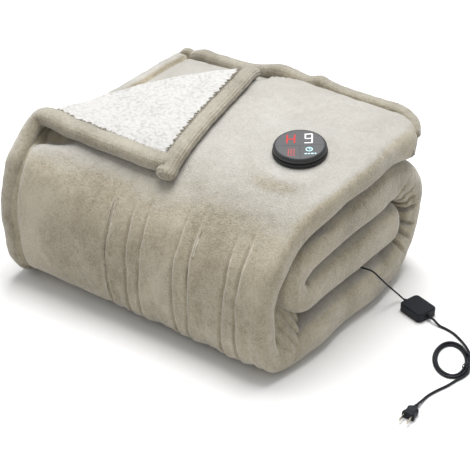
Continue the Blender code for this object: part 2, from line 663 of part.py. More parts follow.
def build_cord(name, route, radius):
    """A round cord along the smooth curve through its route."""
    points = smooth_route(route, CORD_SPACING * 2 * radius)
    curve = bpy.data.curves.new(name, "CURVE")
    curve.dimensions = "3D"
    curve.bevel_depth = radius
    curve.bevel_resolution = CORD_SIDES
    curve.use_fill_caps = True
    spline = curve.splines.new("POLY")
    spline.points.add(len(points) - 1)
    for point, place in zip(spline.points, points):
        point.co = (*place, 1.0)
    curve.materials.append(plain_material(name, DARK_COLOR, 0.5))
    obj = bpy.data.objects.new(name, curve)
    bpy.context.collection.objects.link(obj)
    return obj


def box_placement(along=0.0):
    """The power box's frame, moved along its length: X along the cord, Z up."""
    turn = Matrix.Rotation(BOX_ANGLE, 4, "Z")
    return Matrix.Translation(BOX_PLACE) @ turn @ Matrix.Translation((along, 0.0, 0.0))


def relief_route(side):
    """The straight run of a cord out of the strain relief on one side, from the relief outwards."""
    start = BOX_LENGTH / 2 + RELIEF_LENGTH + 3 * TOUCH
    return [tuple(box_placement(side * (start + out)) @ Vector((0.0, 0.0, RELIEF_HEIGHT)))
            for out in (0.0, RELIEF_STRAIGHT)]


def build_power_box():
    """The inline power box and the strain reliefs at its two ends."""
    inner = (BOX_LENGTH - 2 * BOX_EDGE, BOX_WIDTH - 2 * BOX_EDGE, BOX_CORNER - BOX_EDGE)
    outer = (BOX_LENGTH, BOX_WIDTH, BOX_CORNER)
    rings = [(rounded_rectangle(*inner), 0.0), (rounded_rectangle(*outer), BOX_EDGE),
             (rounded_rectangle(*outer), BOX_HEIGHT - BOX_EDGE), (rounded_rectangle(*inner), BOX_HEIGHT)]
    stacked("power_box", rings, box_placement(), DARK_COLOR, 0.5)
    for name, side in (("relief_in", -1), ("relief_out", 1)):
        start = side * (BOX_LENGTH / 2 + TOUCH)
        lift = Matrix.Translation((0.0, 0.0, RELIEF_HEIGHT))
        place = box_placement(start) @ lift @ Matrix.Rotation(side * math.pi / 2, 4, "Y")
        relief = [(circle(RELIEF_RADIUS, 12), 0.0), (circle(RELIEF_RADIUS, 12), 2 * MM),
                  (circle(RELIEF_RADIUS - 1 * MM, 12), RELIEF_LENGTH)]
        stacked(name, relief, place, DARK_COLOR, 0.5)


def coil_point(turn, outwards=0.0, up=0.0):
    """A point round the coil's oval: turn in degrees, outwards from its outer edge."""
    long_way = np.array([math.cos(COIL_ANGLE), math.sin(COIL_ANGLE)])
    wide_way = np.array([-long_way[1], long_way[0]])
    angle = math.radians(turn)
    place = np.array(COIL_CENTRE) + COIL_LONG * math.cos(angle) * long_way + COIL_WIDE * math.sin(angle) * wide_way
    normal = math.cos(angle) / COIL_LONG * long_way + math.sin(angle) / COIL_WIDE * wide_way
    place = place + normal / np.linalg.norm(normal) * outwards
    return np.array([place[0], place[1], up])


def beside_coil(turns):
    """Route points of the cord where it runs along the coil's outer edge."""
    clear = MAINS_RADIUS + TOUCH
    return [tuple(coil_point(turn, clear + more, CORD_ON_FLOOR)) for turn, more in turns]


def coil_outline(grow):
    """The coil's cross-section, outwards and up, grown by a margin."""
    middle, height = -COIL_BAND / 2, COIL_LIFT + COIL_HEIGHT / 2
    outline = rounded_rectangle(COIL_BAND + 2 * grow, COIL_HEIGHT + 2 * grow, 3 * MM + grow, 2)
    return [(middle + out, height + up) for out, up in outline]


def build_coil():
    """The coiled mains cord as one oval ring, and the tie round its strands."""
    outline = coil_outline(0.0)
    count = len(outline)
    vertices = [coil_point(360 * k / COIL_STEPS, out, up) for k in range(COIL_STEPS) for out, up in outline]
    faces = [(k * count + m, k * count + (m + 1) % count,
              (k + 1) % COIL_STEPS * count + (m + 1) % count, (k + 1) % COIL_STEPS * count + m)
             for k in range(COIL_STEPS) for m in range(count)]
    mesh_object("cord_coil", vertices, faces, DARK_COLOR, 0.5)
    loops = []
    for grow, turn in ((TIE_GAP, TIE_TURN), (TIE_GAP + TIE_THICK, TIE_TURN),
                       (TIE_GAP + TIE_THICK, TIE_TURN + TIE_SWEEP), (TIE_GAP, TIE_TURN + TIE_SWEEP)):
        loops.append([coil_point(turn, out, up) for out, up in coil_outline(grow)])
    faces = [(k * count + m, k * count + (m + 1) % count,
              (k + 1) % 4 * count + (m + 1) % count, (k + 1) % 4 * count + m)
             for k in range(4) for m in range(count)]
    mesh_object("coil_tie", [point for loop in loops for point in loop], faces, DARK_COLOR, 0.6)


def plug_placement():
    """The plug's frame: its Z runs from its neck to its blades."""
    turn = Matrix.Rotation(PLUG_ANGLE, 4, "Z") @ Matrix.Rotation(math.pi / 2, 4, "Y")
    return Matrix.Translation(PLUG_PLACE) @ turn


def plug_route():
    """The straight end of the cord before the plug's neck."""
    return [tuple(plug_placement() @ Vector((0.0, 0.0, -back))) for back in (RELIEF_STRAIGHT, 2 * TOUCH)]


def build_plug():
    """The two-blade plug: one moulded body with its neck, and two flat blades."""
    place = plug_placement()
    rings = []
    for along, wide, thick, corner in PLUG_RINGS:
        points = rounded_rectangle(thick, wide, corner, 3)
        rings.append((points, along))
    stacked("plug_body", rings, place, DARK_COLOR, 0.5)
    base = PLUG_RINGS[-1][0] + TOUCH
    for name, side in (("plug_blade_a", -1), ("plug_blade_b", 1)):
        points = rounded_rectangle(BLADE_WIDTH, BLADE_THICK, 0.5 * MM, 2)
        tip = rounded_rectangle(BLADE_WIDTH - 2 * MM, BLADE_THICK - 0.6 * MM, 0.3 * MM, 2)
        shift = Matrix.Translation((0.0, side * BLADE_SPACING / 2, 0.0))
        blade = [(points, base), (points, base + BLADE_LENGTH - 1.5 * MM), (tip, base + BLADE_LENGTH)]
        stacked(name, blade, place @ shift, BRASS_COLOR, 0.3, 0.9)


def clear_scene():
    """Removes every object that is there before."""
    for obj in list(bpy.data.objects):
        bpy.data.objects.remove(obj)


def centre_on_origin(body):
    """Moves every object so that the body's box is centred over the origin in X and Y."""
    bpy.context.view_layer.update()
    corners = [obj.matrix_world @ Vector(corner) for obj in body for corner in obj.bound_box]
    middle = [(min(c[k] for c in corners) + max(c[k] for c in corners)) / 2 for k in range(2)]
    for obj in bpy.data.objects:
        obj.location -= Vector((*middle, 0.0))


def main():
    """Builds the whole object."""
    clear_scene()
    roll = build_roll()
    ground = Ground(roll)
    build_corner(ground)
    build_controller()
    body = [obj for obj in bpy.data.objects if not obj.hide_render]
    build_power_box()
    build_cord("cord_lead", list(LEAD_ROUTE) + relief_route(-1)[::-1], LEAD_RADIUS)
    build_cord("cord_mains", relief_route(1) + list(MAINS_ROUTE) + beside_coil(MAINS_TO_COIL), MAINS_RADIUS)
    build_coil()
    build_cord("cord_tail", beside_coil(TAIL_FROM_COIL) + list(TAIL_ROUTE) + plug_route(), MAINS_RADIUS)
    build_plug()
    centre_on_origin(body)


main()
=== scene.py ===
"""Looks of a folded, electrically heated plush blanket with a turned-back corner.

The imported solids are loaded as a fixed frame. Every cloth piece is rebuilt finer on the same folds,
the controller gets its lit display, and the cord is one real length with three turns of coil.
All sizes are in metres, in the plan of the part's source; PLAN_SHIFT takes them to the frame.
"""

import itertools
import logging
import math
from dataclasses import dataclass
from enum import Enum
from typing import Optional, Union

import bpy
import numpy as np
from mathutils import Matrix, Vector
from mathutils.bvhtree import BVHTree


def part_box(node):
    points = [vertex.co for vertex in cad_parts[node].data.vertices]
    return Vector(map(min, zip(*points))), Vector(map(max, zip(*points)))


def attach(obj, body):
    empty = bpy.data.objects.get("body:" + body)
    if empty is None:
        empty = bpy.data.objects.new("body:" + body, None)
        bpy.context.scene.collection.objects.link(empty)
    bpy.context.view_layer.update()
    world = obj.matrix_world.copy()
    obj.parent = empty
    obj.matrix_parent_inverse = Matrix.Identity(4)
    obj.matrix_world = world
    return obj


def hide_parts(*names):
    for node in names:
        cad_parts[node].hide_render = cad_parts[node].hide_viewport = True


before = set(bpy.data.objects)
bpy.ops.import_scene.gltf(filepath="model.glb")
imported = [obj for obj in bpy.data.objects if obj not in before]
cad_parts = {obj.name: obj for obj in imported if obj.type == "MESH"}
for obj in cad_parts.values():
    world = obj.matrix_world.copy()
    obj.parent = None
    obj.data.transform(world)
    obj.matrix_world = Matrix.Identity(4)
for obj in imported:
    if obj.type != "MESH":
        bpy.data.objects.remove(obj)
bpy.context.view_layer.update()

Array = np.ndarray
Material = bpy.types.Material
Piece = bpy.types.Object

LOG = logging.getLogger("heated_blanket")
MM = 0.001
TINY = 1e-9  # keeps a length from being 0 before a division
TOUCH = 0.3 * MM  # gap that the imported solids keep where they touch
UP = np.array([0.0, 0.0, 1.0])
BOX_MIDDLE = (0.3490, 0.0715)  # plan of the power box before the part was centred


def plan_shift() -> Vector:
    """Move that takes the plan of the part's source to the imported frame.

    Returns:
        The move.
    """
    low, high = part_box("power_box")
    middle = (low + high) / 2
    return Vector((middle.x - BOX_MIDDLE[0], middle.y - BOX_MIDDLE[1], 0.0))


PLAN_SHIFT = plan_shift()

# The folded cloth's middle line, from its free end on top to the one inside the roll. Each row holds
# y, z, half thickness and reach of the folded edge at the right end, then y, z and half at the left.
FOLD_LINE = np.array((
    (0.196, 0.272, 0.0250, 0.283, 0.250, 0.241, 0.0235),
    (0.142, 0.277, 0.0290, 0.282, 0.180, 0.2415, 0.0240),
    (0.080, 0.280, 0.0260, 0.282, 0.090, 0.2395, 0.0225),
    (0.000, 0.279, 0.0250, 0.284, 0.000, 0.239, 0.0220),
    (-0.060, 0.274, 0.0235, 0.280, -0.070, 0.240, 0.0205),
    (-0.111, 0.261, 0.0225, 0.272, -0.130, 0.247, 0.0200),
    (-0.162, 0.233, 0.0215, 0.262, -0.183, 0.246, 0.0185),
    (-0.202, 0.194, 0.0200, 0.254, -0.220, 0.219, 0.0180),
    (-0.222, 0.150, 0.0195, 0.251, -0.240, 0.172, 0.0180),
    (-0.226, 0.108, 0.0195, 0.252, -0.245, 0.116, 0.0180),
    (-0.226, 0.066, 0.0195, 0.256, -0.240, 0.070, 0.0180),
    (-0.213, 0.036, 0.0225, 0.262, -0.226, 0.040, 0.0190),
    (-0.176, 0.0335, 0.0330, 0.270, -0.180, 0.0265, 0.0260),
    (-0.115, 0.0395, 0.0390, 0.277, -0.120, 0.0325, 0.0320),
    (-0.040, 0.0405, 0.0400, 0.279, -0.040, 0.035, 0.0345),
    (0.050, 0.0405, 0.0400, 0.283, 0.050, 0.035, 0.0345),
    (0.125, 0.0460, 0.0385, 0.280, 0.135, 0.039, 0.0335),
    (0.172, 0.083, 0.0350, 0.276, 0.186, 0.072, 0.0310),
    (0.185, 0.126, 0.0340, 0.275, 0.200, 0.108, 0.0300),
    (0.172, 0.169, 0.0340, 0.275, 0.186, 0.146, 0.0300),
    (0.122, 0.2045, 0.0375, 0.277, 0.130, 0.177, 0.0325),
    (0.050, 0.2115, 0.0385, 0.281, 0.050, 0.183, 0.0330),
    (-0.030, 0.2085, 0.0370, 0.278, -0.040, 0.182, 0.0320),
    (-0.090, 0.2020, 0.0310, 0.274, -0.110, 0.180, 0.0285),
    (-0.140, 0.1845, 0.0265, 0.269, -0.165, 0.168, 0.0250),
    (-0.168, 0.1535, 0.0255, 0.266, -0.188, 0.138, 0.0235),
    (-0.149, 0.1235, 0.0275, 0.268, -0.160, 0.110, 0.0250),
    (-0.098, 0.1245, 0.0375, 0.272, -0.100, 0.108, 0.0330),
    (-0.030, 0.1265, 0.0405, 0.276, -0.030, 0.109, 0.0350),
    (0.050, 0.1265, 0.0405, 0.278, 0.050, 0.109, 0.0350),
    (0.142, 0.1265, 0.0400, 0.278, 0.156, 0.109, 0.0345),
))
CREASE_ROUTE = np.array((
    (-0.270, -0.165), (-0.262, -0.100), (-0.243, -0.025),
    (-0.210, 0.038), (-0.165, 0.090), (-0.110, 0.130), (-0.036, 0.156),
))
CREASE_SPLIT = 2  # the crease's point that is the far corner of the turned-back cloth


# ---------------------------------------------------------------- number helpers


def smoothstep(value: Array) -> Array:
    """0 below 0 and 1 above 1, with an even slope between."""
    value = np.clip(value, 0.0, 1.0)
    return value * value * (3.0 - 2.0 * value)


def catmull_rom(points: Array, at: Array) -> Array:
    """Follows the smooth curve through rows of points.

    Args:
        points: One row for each point of the route.
        at: Row numbers, which may be fractions.

    Returns:
        One point for each row number.
    """
    padded = np.vstack([2 * points[0] - points[1], points, 2 * points[-1] - points[-2]])
    row = np.clip(np.floor(at).astype(int), 0, len(points) - 2)
    t = (at - row)[:, None]
    before, here, after, beyond = (padded[row + k] for k in range(4))
    square = 2 * before - 5 * here + 4 * after - beyond
    cube = 3 * here - before - 3 * after + beyond
    return 0.5 * (2 * here + (after - before) * t + square * t**2 + cube * t**3)


def evenly(route: Array, spacing: float) -> Array:
    """Spaces points evenly on the smooth curve through a route.

    Args:
        route: The route's points.
        spacing: Distance between points.

    Returns:
        The evenly spaced points, both ends among them.
    """
    fine = catmull_rom(route, np.linspace(0, len(route) - 1, 40 * len(route)))
    travelled = length_along(fine)
    at = np.linspace(0, travelled[-1], max(3, math.ceil(travelled[-1] / spacing)) + 1)
    return np.column_stack([np.interp(at, travelled, fine[:, k]) for k in range(fine.shape[1])])


def lumps(points: Array, size: float, seed: int = 0) -> Array:
    """Gives smooth noise from -1 to 1 over points in space.

    Args:
        points: An array whose last axis holds x, y and z.
        size: Width of one lump.
        seed: Number of the pattern.

    Returns:
        One value for each point.
    """
    cells = points / size
    low = np.floor(cells).astype(np.int64)
    part = smoothstep(cells - low)
    total = np.zeros(points.shape[:-1])
    for corner in itertools.product((0, 1), repeat=3):
        key = (low + np.array(corner)) @ np.array([73856093, 19349663, 83492791]) + seed * 15485863
        key = (key ^ (key >> 13)) * 1274126177
        value = ((key ^ (key >> 16)) & 0xFFFF) / 32767.5 - 1.0
        total += value * np.prod(np.where(np.array(corner, bool), part, 1.0 - part), axis=-1)
    return total


def curls(plan: Array, size: float, seed: int) -> Array:
    """Gives rounded tufts set at random places, as on a curly fleece.

    Args:
        plan: An array whose last axis holds two plan coordinates.
        size: Average distance between tufts.
        seed: Number of the pattern.

    Returns:
        Height from 0, between tufts, to 1, on top of the tallest.
    """
    cells = plan / size
    low = np.floor(cells).astype(np.int64)
    best = np.zeros(plan.shape[:-1])
    for offset in itertools.product((-1, 0, 1), repeat=2):
        cell = low + np.array(offset)
        key = cell @ np.array([92837111, 689287499]) + seed * 104729
        spin = [((key * k) ^ ((key * k) >> 11)) & 0x3FF for k in (40503, 60493, 25867, 7919)]
        share = [value / 1023.0 for value in spin]
        centre = cell + np.stack([0.15 + 0.7 * share[0], 0.15 + 0.7 * share[1]], axis=-1)
        away = cells - centre
        turn = math.pi * share[2]
        along = away[..., 0] * np.cos(turn) + away[..., 1] * np.sin(turn)
        across = away[..., 1] * np.cos(turn) - away[..., 0] * np.sin(turn)
        far = (along / 0.95) ** 2 + (across / 0.62) ** 2
        best = np.maximum(best, np.sqrt(np.clip(1.0 - far, 0.0, 1.0)) * (0.55 + 0.45 * share[3]))
    return best


def grid_faces(rows: int, columns: int, start: int = 0, closed: bool = False) -> Array:
    """Numbers the quads of a grid of points.

    Args:
        rows: Rows of points.
        columns: Points in a row.
        start: Number of the first point.
        closed: Whether each row is a loop.

    Returns:
        One row of four point numbers for each quad.
    """
    width = columns if closed else columns - 1
    i, j = np.meshgrid(np.arange(rows - 1), np.arange(width), indexing="ij")
    after = (j + 1) % columns
    corners = (i * columns + j, i * columns + after, (i + 1) * columns + after, (i + 1) * columns + j)
    return start + np.stack(corners, axis=-1).reshape(-1, 4)


def unit(vectors: Array) -> Array:
    """Vectors along the last axis, each made 1 long."""
    return vectors / np.maximum(np.linalg.norm(vectors, axis=-1, keepdims=True), TINY)


def bell(value: Array, middle: float, half: float) -> Array:
    """1 in the middle, falling softly to either side."""
    return np.exp(-(((value - middle) / half) ** 2))


def length_along(points: Array) -> Array:
    """Distance travelled from the first of a row of points to each of them."""
    return np.concatenate([[0.0], np.cumsum(np.linalg.norm(np.diff(points, axis=0), axis=1))])


def round_off(share: Array, least: float = 0.0) -> Array:
    """Height of a quarter round, from 0 at its edge to 1 where it is full."""
    return np.sqrt(np.clip(1 - (1 - np.clip(share, 0, 1)) ** 2, least, 1))


def revolve(profile: list, place: Array, steps: int) -> tuple:
    """Turns a profile round an axis, with closed ends.

    Args:
        profile: Radius and height in millimetres, from the bottom up.
        place: The axis's frame, as a 4 by 4 matrix.
        steps: Points round it.

    Returns:
        The points and the faces.
    """
    turns = np.linspace(0, 2 * np.pi, steps, endpoint=False)
    circle = np.column_stack([np.cos(turns), np.sin(turns)])
    rings = [np.column_stack([r * MM * circle, np.full(steps, z * MM)]) for r, z in profile]
    faces = grid_faces(len(rings), steps, closed=True).tolist()
    faces += end_caps(len(rings), steps)
    return np.vstack(rings) @ place[:3, :3].T + place[:3, 3], faces


def end_caps(rings: int, sides: int) -> list:
    """The two faces that close a tube of rings."""
    last = (rings - 1) * sides
    return [list(range(sides))[::-1], list(range(last, last + sides))]


def add_mesh(name: str, points: Array, faces: list, finish: Material, sharp: float = 180.0) -> Piece:
    """Adds a mesh to the scene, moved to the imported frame.

    Args:
        name: Name of the piece.
        points: Points in the plan of the part's source.
        faces: Point numbers of each face.
        finish: The piece's material.
        sharp: Edges that turn by more than this many degrees stay sharp.

    Returns:
        The new object.
    """
    mesh = bpy.data.meshes.new(name)
    mesh.from_pydata((np.asarray(points) + np.array(PLAN_SHIFT)).tolist(), [], [tuple(f) for f in faces])
    mesh.validate()
    mesh.shade_smooth()
    if sharp < 180.0:
        mesh.set_sharp_from_angle(angle=math.radians(sharp))
    mesh.materials.append(finish)
    obj = bpy.data.objects.new(name, mesh)
    bpy.context.collection.objects.link(obj)
    return obj


# ---------------------------------------------------------------- shader graph


class Sock:
    """An output socket whose operators add Math nodes."""

    def __init__(self, graph: "Graph", socket: bpy.types.NodeSocket) -> None:
        """Wraps a socket of a graph."""
        self.graph = graph
        self.socket = socket

    def _math(self, operation: str, first: "Value", second: "Value") -> "Sock":
        """Adds one Math node."""
        return self.graph.node("ShaderNodeMath", {"operation": operation}, {0: first, 1: second})

    def __add__(self, other: "Value") -> "Sock":
        """self + other."""
        return self._math("ADD", self, other)

    def __sub__(self, other: "Value") -> "Sock":
        """self - other."""
        return self._math("SUBTRACT", self, other)

    def __rsub__(self, other: "Value") -> "Sock":
        """other - self."""
        return self._math("SUBTRACT", other, self)

    def __mul__(self, other: "Value") -> "Sock":
        """self * other."""
        return self._math("MULTIPLY", self, other)

    __radd__ = __add__
    __rmul__ = __mul__


Value = Union[float, tuple, Sock]


class Graph:
    """A material's nodes, added one call at a time."""

    def __init__(self, name: str) -> None:
        """Starts an empty material.

        Args:
            name: Its name.
        """
        self.material = bpy.data.materials.new(name)
        self.material.use_nodes = True
        self.tree = self.material.node_tree
        self.tree.nodes.clear()

    def node(self, kind: str, settings: dict, sockets: dict, output: Union[int, str] = 0) -> Sock:
        """Adds one node.

        Args:
            kind: The node's type.
            settings: Its settings, set first; "stops" holds a ramp's positions and colours.
            sockets: Values or links of its inputs, by name or number.
            output: The output that is wanted.

        Returns:
            That output.
        """
        made = self.tree.nodes.new(kind)
        for key, value in settings.items():
            if key == "stops":
                self._set_stops(made.color_ramp, value)
            else:
                setattr(made, key, value)
        for key, value in sockets.items():
            if isinstance(value, Sock):
                self.tree.links.new(value.socket, made.inputs[key])
            else:
                made.inputs[key].default_value = value
        return Sock(self, made.outputs[output])

    @staticmethod
    def _set_stops(ramp: bpy.types.ColorRamp, stops: tuple) -> None:
        """Gives a colour ramp its stops.

        Args:
            ramp: The ramp.
            stops: Positions and colours.
        """
        while len(ramp.elements) < len(stops):
            ramp.elements.new(1.0)
        for element, (position, colour) in zip(ramp.elements, stops):
            element.position = position
            element.color = (*colour, 1.0)

    def place(self) -> Sock:
        """Position on the piece, in metres."""
        return self.node("ShaderNodeTexCoord", {}, {}, "Object")

    def stretched(self, place: Sock, scale: tuple, turn: tuple = (0.0, 0.0, 0.0)) -> Sock:
        """A position scaled and turned by a Mapping node."""
        return self.node("ShaderNodeMapping", {}, {"Vector": place, "Scale": scale, "Rotation": turn})

    def noise(self, place: Sock, scale: float, detail: float = 2.0, rough: float = 0.5,
              bend: float = 0.0) -> Sock:
        """Noise from 0 to 1, with its lumps in a metre and its finer layers."""
        sockets = {"Vector": place, "Scale": scale, "Detail": detail, "Roughness": rough, "Distortion": bend}
        return self.node("ShaderNodeTexNoise", {}, sockets)

    def ramp(self, value: Sock, stops: tuple) -> Sock:
        """A value turned into a colour."""
        return self.node("ShaderNodeValToRGB", {"stops": stops}, {0: value})

    def mix(self, share: Value, first: Value, second: Value) -> Sock:
        """Two colours mixed by a share of the second."""
        return self.node("ShaderNodeMix", {"data_type": "RGBA"}, {0: share, 6: first, 7: second}, 2)

    def bump(self, height: Sock, strength: float, depth: float, under: Optional[Sock] = None) -> Sock:
        """A normal raised by a height.

        Args:
            height: The height, from 0 to 1.
            strength: Share of the depth that is used.
            depth: Full height in metres.
            under: A normal below this one.

        Returns:
            The normal.
        """
        sockets = {"Height": height, "Strength": strength, "Distance": depth}
        if under is not None:
            sockets["Normal"] = under
        return self.node("ShaderNodeBump", {}, sockets)

    def finish(self, **sockets: Value) -> Material:
        """Adds the surface shader.

        Args:
            **sockets: Values or links of the shader's inputs, with _ for a space.

        Returns:
            The finished material.
        """
        named = {key.replace("_", " "): value for key, value in sockets.items()}
        shader = self.node("ShaderNodeBsdfPrincipled", {}, named)
        end = self.tree.nodes.new("ShaderNodeOutputMaterial")
        self.tree.links.new(shader.socket, end.inputs["Surface"])
        return self.material


# ---------------------------------------------------------------- finishes


class Finish:
    """A finish that builds one material."""

    def build(self, name: str) -> Material:
        """Makes the material."""
        g = Graph(name)
        return self.paint(g, g.place())

    def paint(self, g: Graph, at: Sock) -> Material:
        """Adds the nodes of this finish."""
        raise NotImplementedError


@dataclass(frozen=True)
class PlushFinish(Finish):
    """Short velvety plush whose nap lies in light and dark patches, with painted light that makes faces
    turned up paler and more neutral.
    """

    warm: tuple = ((0.258, 0.223, 0.158), (0.385, 0.339, 0.250), (0.490, 0.440, 0.340))
    # pale holds paler, more neutral copies of warm: painted light for the faces that turn up.
    pale: tuple = ((0.365, 0.348, 0.312), (0.425, 0.409, 0.374), (0.480, 0.466, 0.432))
    stops: tuple = (0.41, 0.50, 0.59)
    lit_top_from: float = 0.60
    patches_per_m: float = 7.0
    strokes_per_m: float = 62.0
    tufts_per_m: float = 430.0
    nap_depth: float = 1.8 * MM

    def paint(self, g: Graph, at: Sock) -> Material:
        """Adds light and dark patches, brush strokes, tufts, and painted light that makes faces turned up
        paler.

        Args:
            g: The empty material.
            at: Position on the piece.

        Returns:
            The material.
        """
        patches = g.noise(at, self.patches_per_m, 3.0, 0.55, 0.8)
        brushed_way = g.stretched(at, (1.0, 1.0, 0.6), (0.2, 0.1, 0.5))
        strokes = g.noise(brushed_way, self.strokes_per_m, 3.0, 0.6, 1.2)
        tufts = g.noise(at, self.tufts_per_m, 3.0, 0.7)
        crush = g.noise(at, 2.6 * self.strokes_per_m, 2.0, 0.6, 2.0)
        tone = patches * 0.34 + strokes * 0.16 + crush * 0.18 + tufts * 0.32
        # Painted light: the more a face turns up, the more it takes the pale colours, as if lit from above.
        facing = g.node("ShaderNodeNewGeometry", {}, {}, "Normal")
        upward = g.node("ShaderNodeSeparateXYZ", {}, {"Vector": facing}, "Z")
        level = g.node("ShaderNodeMapRange", {"interpolation_type": "SMOOTHSTEP"},
                       {"Value": upward, "From Min": self.lit_top_from, "From Max": 1.0})
        warm, pale = (g.ramp(tone, tuple(zip(self.stops, shades))) for shades in (self.warm, self.pale))
        colour = g.mix(level, warm, pale)
        rough = patches * 0.15 + 0.80
        low = g.bump(strokes * 0.45 + crush * 0.55, 0.5, 3.0 * self.nap_depth)
        fine = g.bump(tufts, 0.7, self.nap_depth, low)
        return g.finish(Base_Color=colour, Roughness=rough, Normal=fine, Sheen_Weight=0.85,
                        Sheen_Roughness=0.38, Sheen_Tint=(1.0, 0.99, 0.97, 1.0), Specular_IOR_Level=0.12)


@dataclass(frozen=True)
class FleeceFinish(Finish):
    """Curly white fleece, with painted shade that darkens it between its tufts."""

    # The first colour is painted shade for the low places between the tufts.
    hollow_shade: tuple = (0.385, 0.372, 0.353)
    curl: tuple = (0.490, 0.482, 0.468)
    crest: tuple = (0.530, 0.523, 0.512)
    curls_per_m: float = 165.0
    wool_per_m: float = 900.0
    patches_per_m: float = 24.0
    curl_depth: float = 2.2 * MM

    def paint(self, g: Graph, at: Sock) -> Material:
        """Adds painted shade in the hollows between pale curls, and paler crests.

        Args:
            g: The empty material.
            at: Position on the piece.

        Returns:
            The material.
        """
        cells = g.node("ShaderNodeTexVoronoi", {"feature": "SMOOTH_F1"},
                       {"Vector": at, "Scale": self.curls_per_m, "Smoothness": 0.5}, "Distance")
        wool = g.noise(at, self.wool_per_m, 3.0, 0.7)
        broad = g.noise(at, self.patches_per_m, 2.0)
        tone = (1.0 - cells) * 0.50 + wool * 0.20 + broad * 0.30
        # Painted shade: the colour follows the tufts' height, dark in the hollows and palest on the crests.
        colour = g.ramp(tone, ((0.30, self.hollow_shade), (0.52, self.curl), (0.80, self.crest)))
        normal = g.bump((1.0 - cells) * 0.7 + wool * 0.3, 0.4, self.curl_depth)
        return g.finish(Base_Color=colour, Roughness=wool * 0.1 + 0.85, Normal=normal, Sheen_Weight=0.35,
                        Sheen_Roughness=0.5, Specular_IOR_Level=0.1)


class Gloss(Enum):
    """How moulded plastic is polished: roughness, then grain strength."""

    SATIN = (0.42, 0.10)
    GRAINED = (0.56, 0.30)
    SOFT = (0.50, 0.16)


@dataclass(frozen=True)
class PlasticFinish(Finish):
    """Moulded plastic with a fine grain and faint wear."""

    colour: tuple
    gloss: Gloss = Gloss.SATIN
    coat: float = 0.0
    shine: float = 0.5
    grains_per_m: float = 1500.0
    smears_per_m: float = 60.0
    grain_depth: float = 0.15 * MM

    def paint(self, g: Graph, at: Sock) -> Material:
        """Adds a fine grain and faint smears.

        Args:
            g: The empty material.
            at: Position on the piece.

        Returns:
            The material.
        """
        rough, grain = self.gloss.value
        speckle = g.noise(at, self.grains_per_m, 2.0, 0.6)
        smear = g.noise(at, self.smears_per_m, 3.0, 0.5, 0.5)
        pale = tuple(1.35 * c + 0.004 for c in self.colour)
        colour = g.mix(smear * 0.5 + speckle * 0.2, (*self.colour, 1.0), (*pale, 1.0))
        normal = g.bump(speckle, grain, self.grain_depth)
        return g.finish(Base_Color=colour, Roughness=smear * 0.12 + (rough - 0.06), Normal=normal,
                        Coat_Weight=self.coat, Coat_Roughness=0.08, Specular_IOR_Level=self.shine)


@dataclass(frozen=True)
class MetalFinish(Finish):
    """Drawn metal with fine lines along it."""

    colour: tuple = (0.66, 0.61, 0.52)
    line_scale: tuple = (4000.0, 120.0, 4000.0)
    line_depth: float = 0.1 * MM

    def paint(self, g: Graph, at: Sock) -> Material:
        """Adds fine drawn lines.

        Args:
            g: The empty material.
            at: Position on the piece.

        Returns:
            The material.
        """
        lines = g.noise(g.stretched(at, self.line_scale), 1.0, 2.0)
        colour = g.mix(lines, (*self.colour, 1.0), (*(0.8 * c for c in self.colour), 1.0))
        return g.finish(Base_Color=colour, Metallic=1.0, Roughness=lines * 0.15 + 0.22,
                        Normal=g.bump(lines, 0.15, self.line_depth))


@dataclass(frozen=True)
class LitFinish(Finish):
    """A lit mark on the display, with a slight mottle."""

    colour: tuple
    strength: float

    def paint(self, g: Graph, at: Sock) -> Material:
        """Adds an even glow with a slight mottle.

        Args:
            g: The empty material.
            at: Position on the piece.

        Returns:
            The material.
        """
        glow = g.noise(at, 400.0, 1.0)
        colour = g.mix(glow * 0.3, (*self.colour, 1.0), (*(0.7 * c for c in self.colour), 1.0))
        return g.finish(Base_Color=colour, Emission_Color=colour, Emission_Strength=self.strength,
                        Roughness=glow * 0.1 + 0.3)


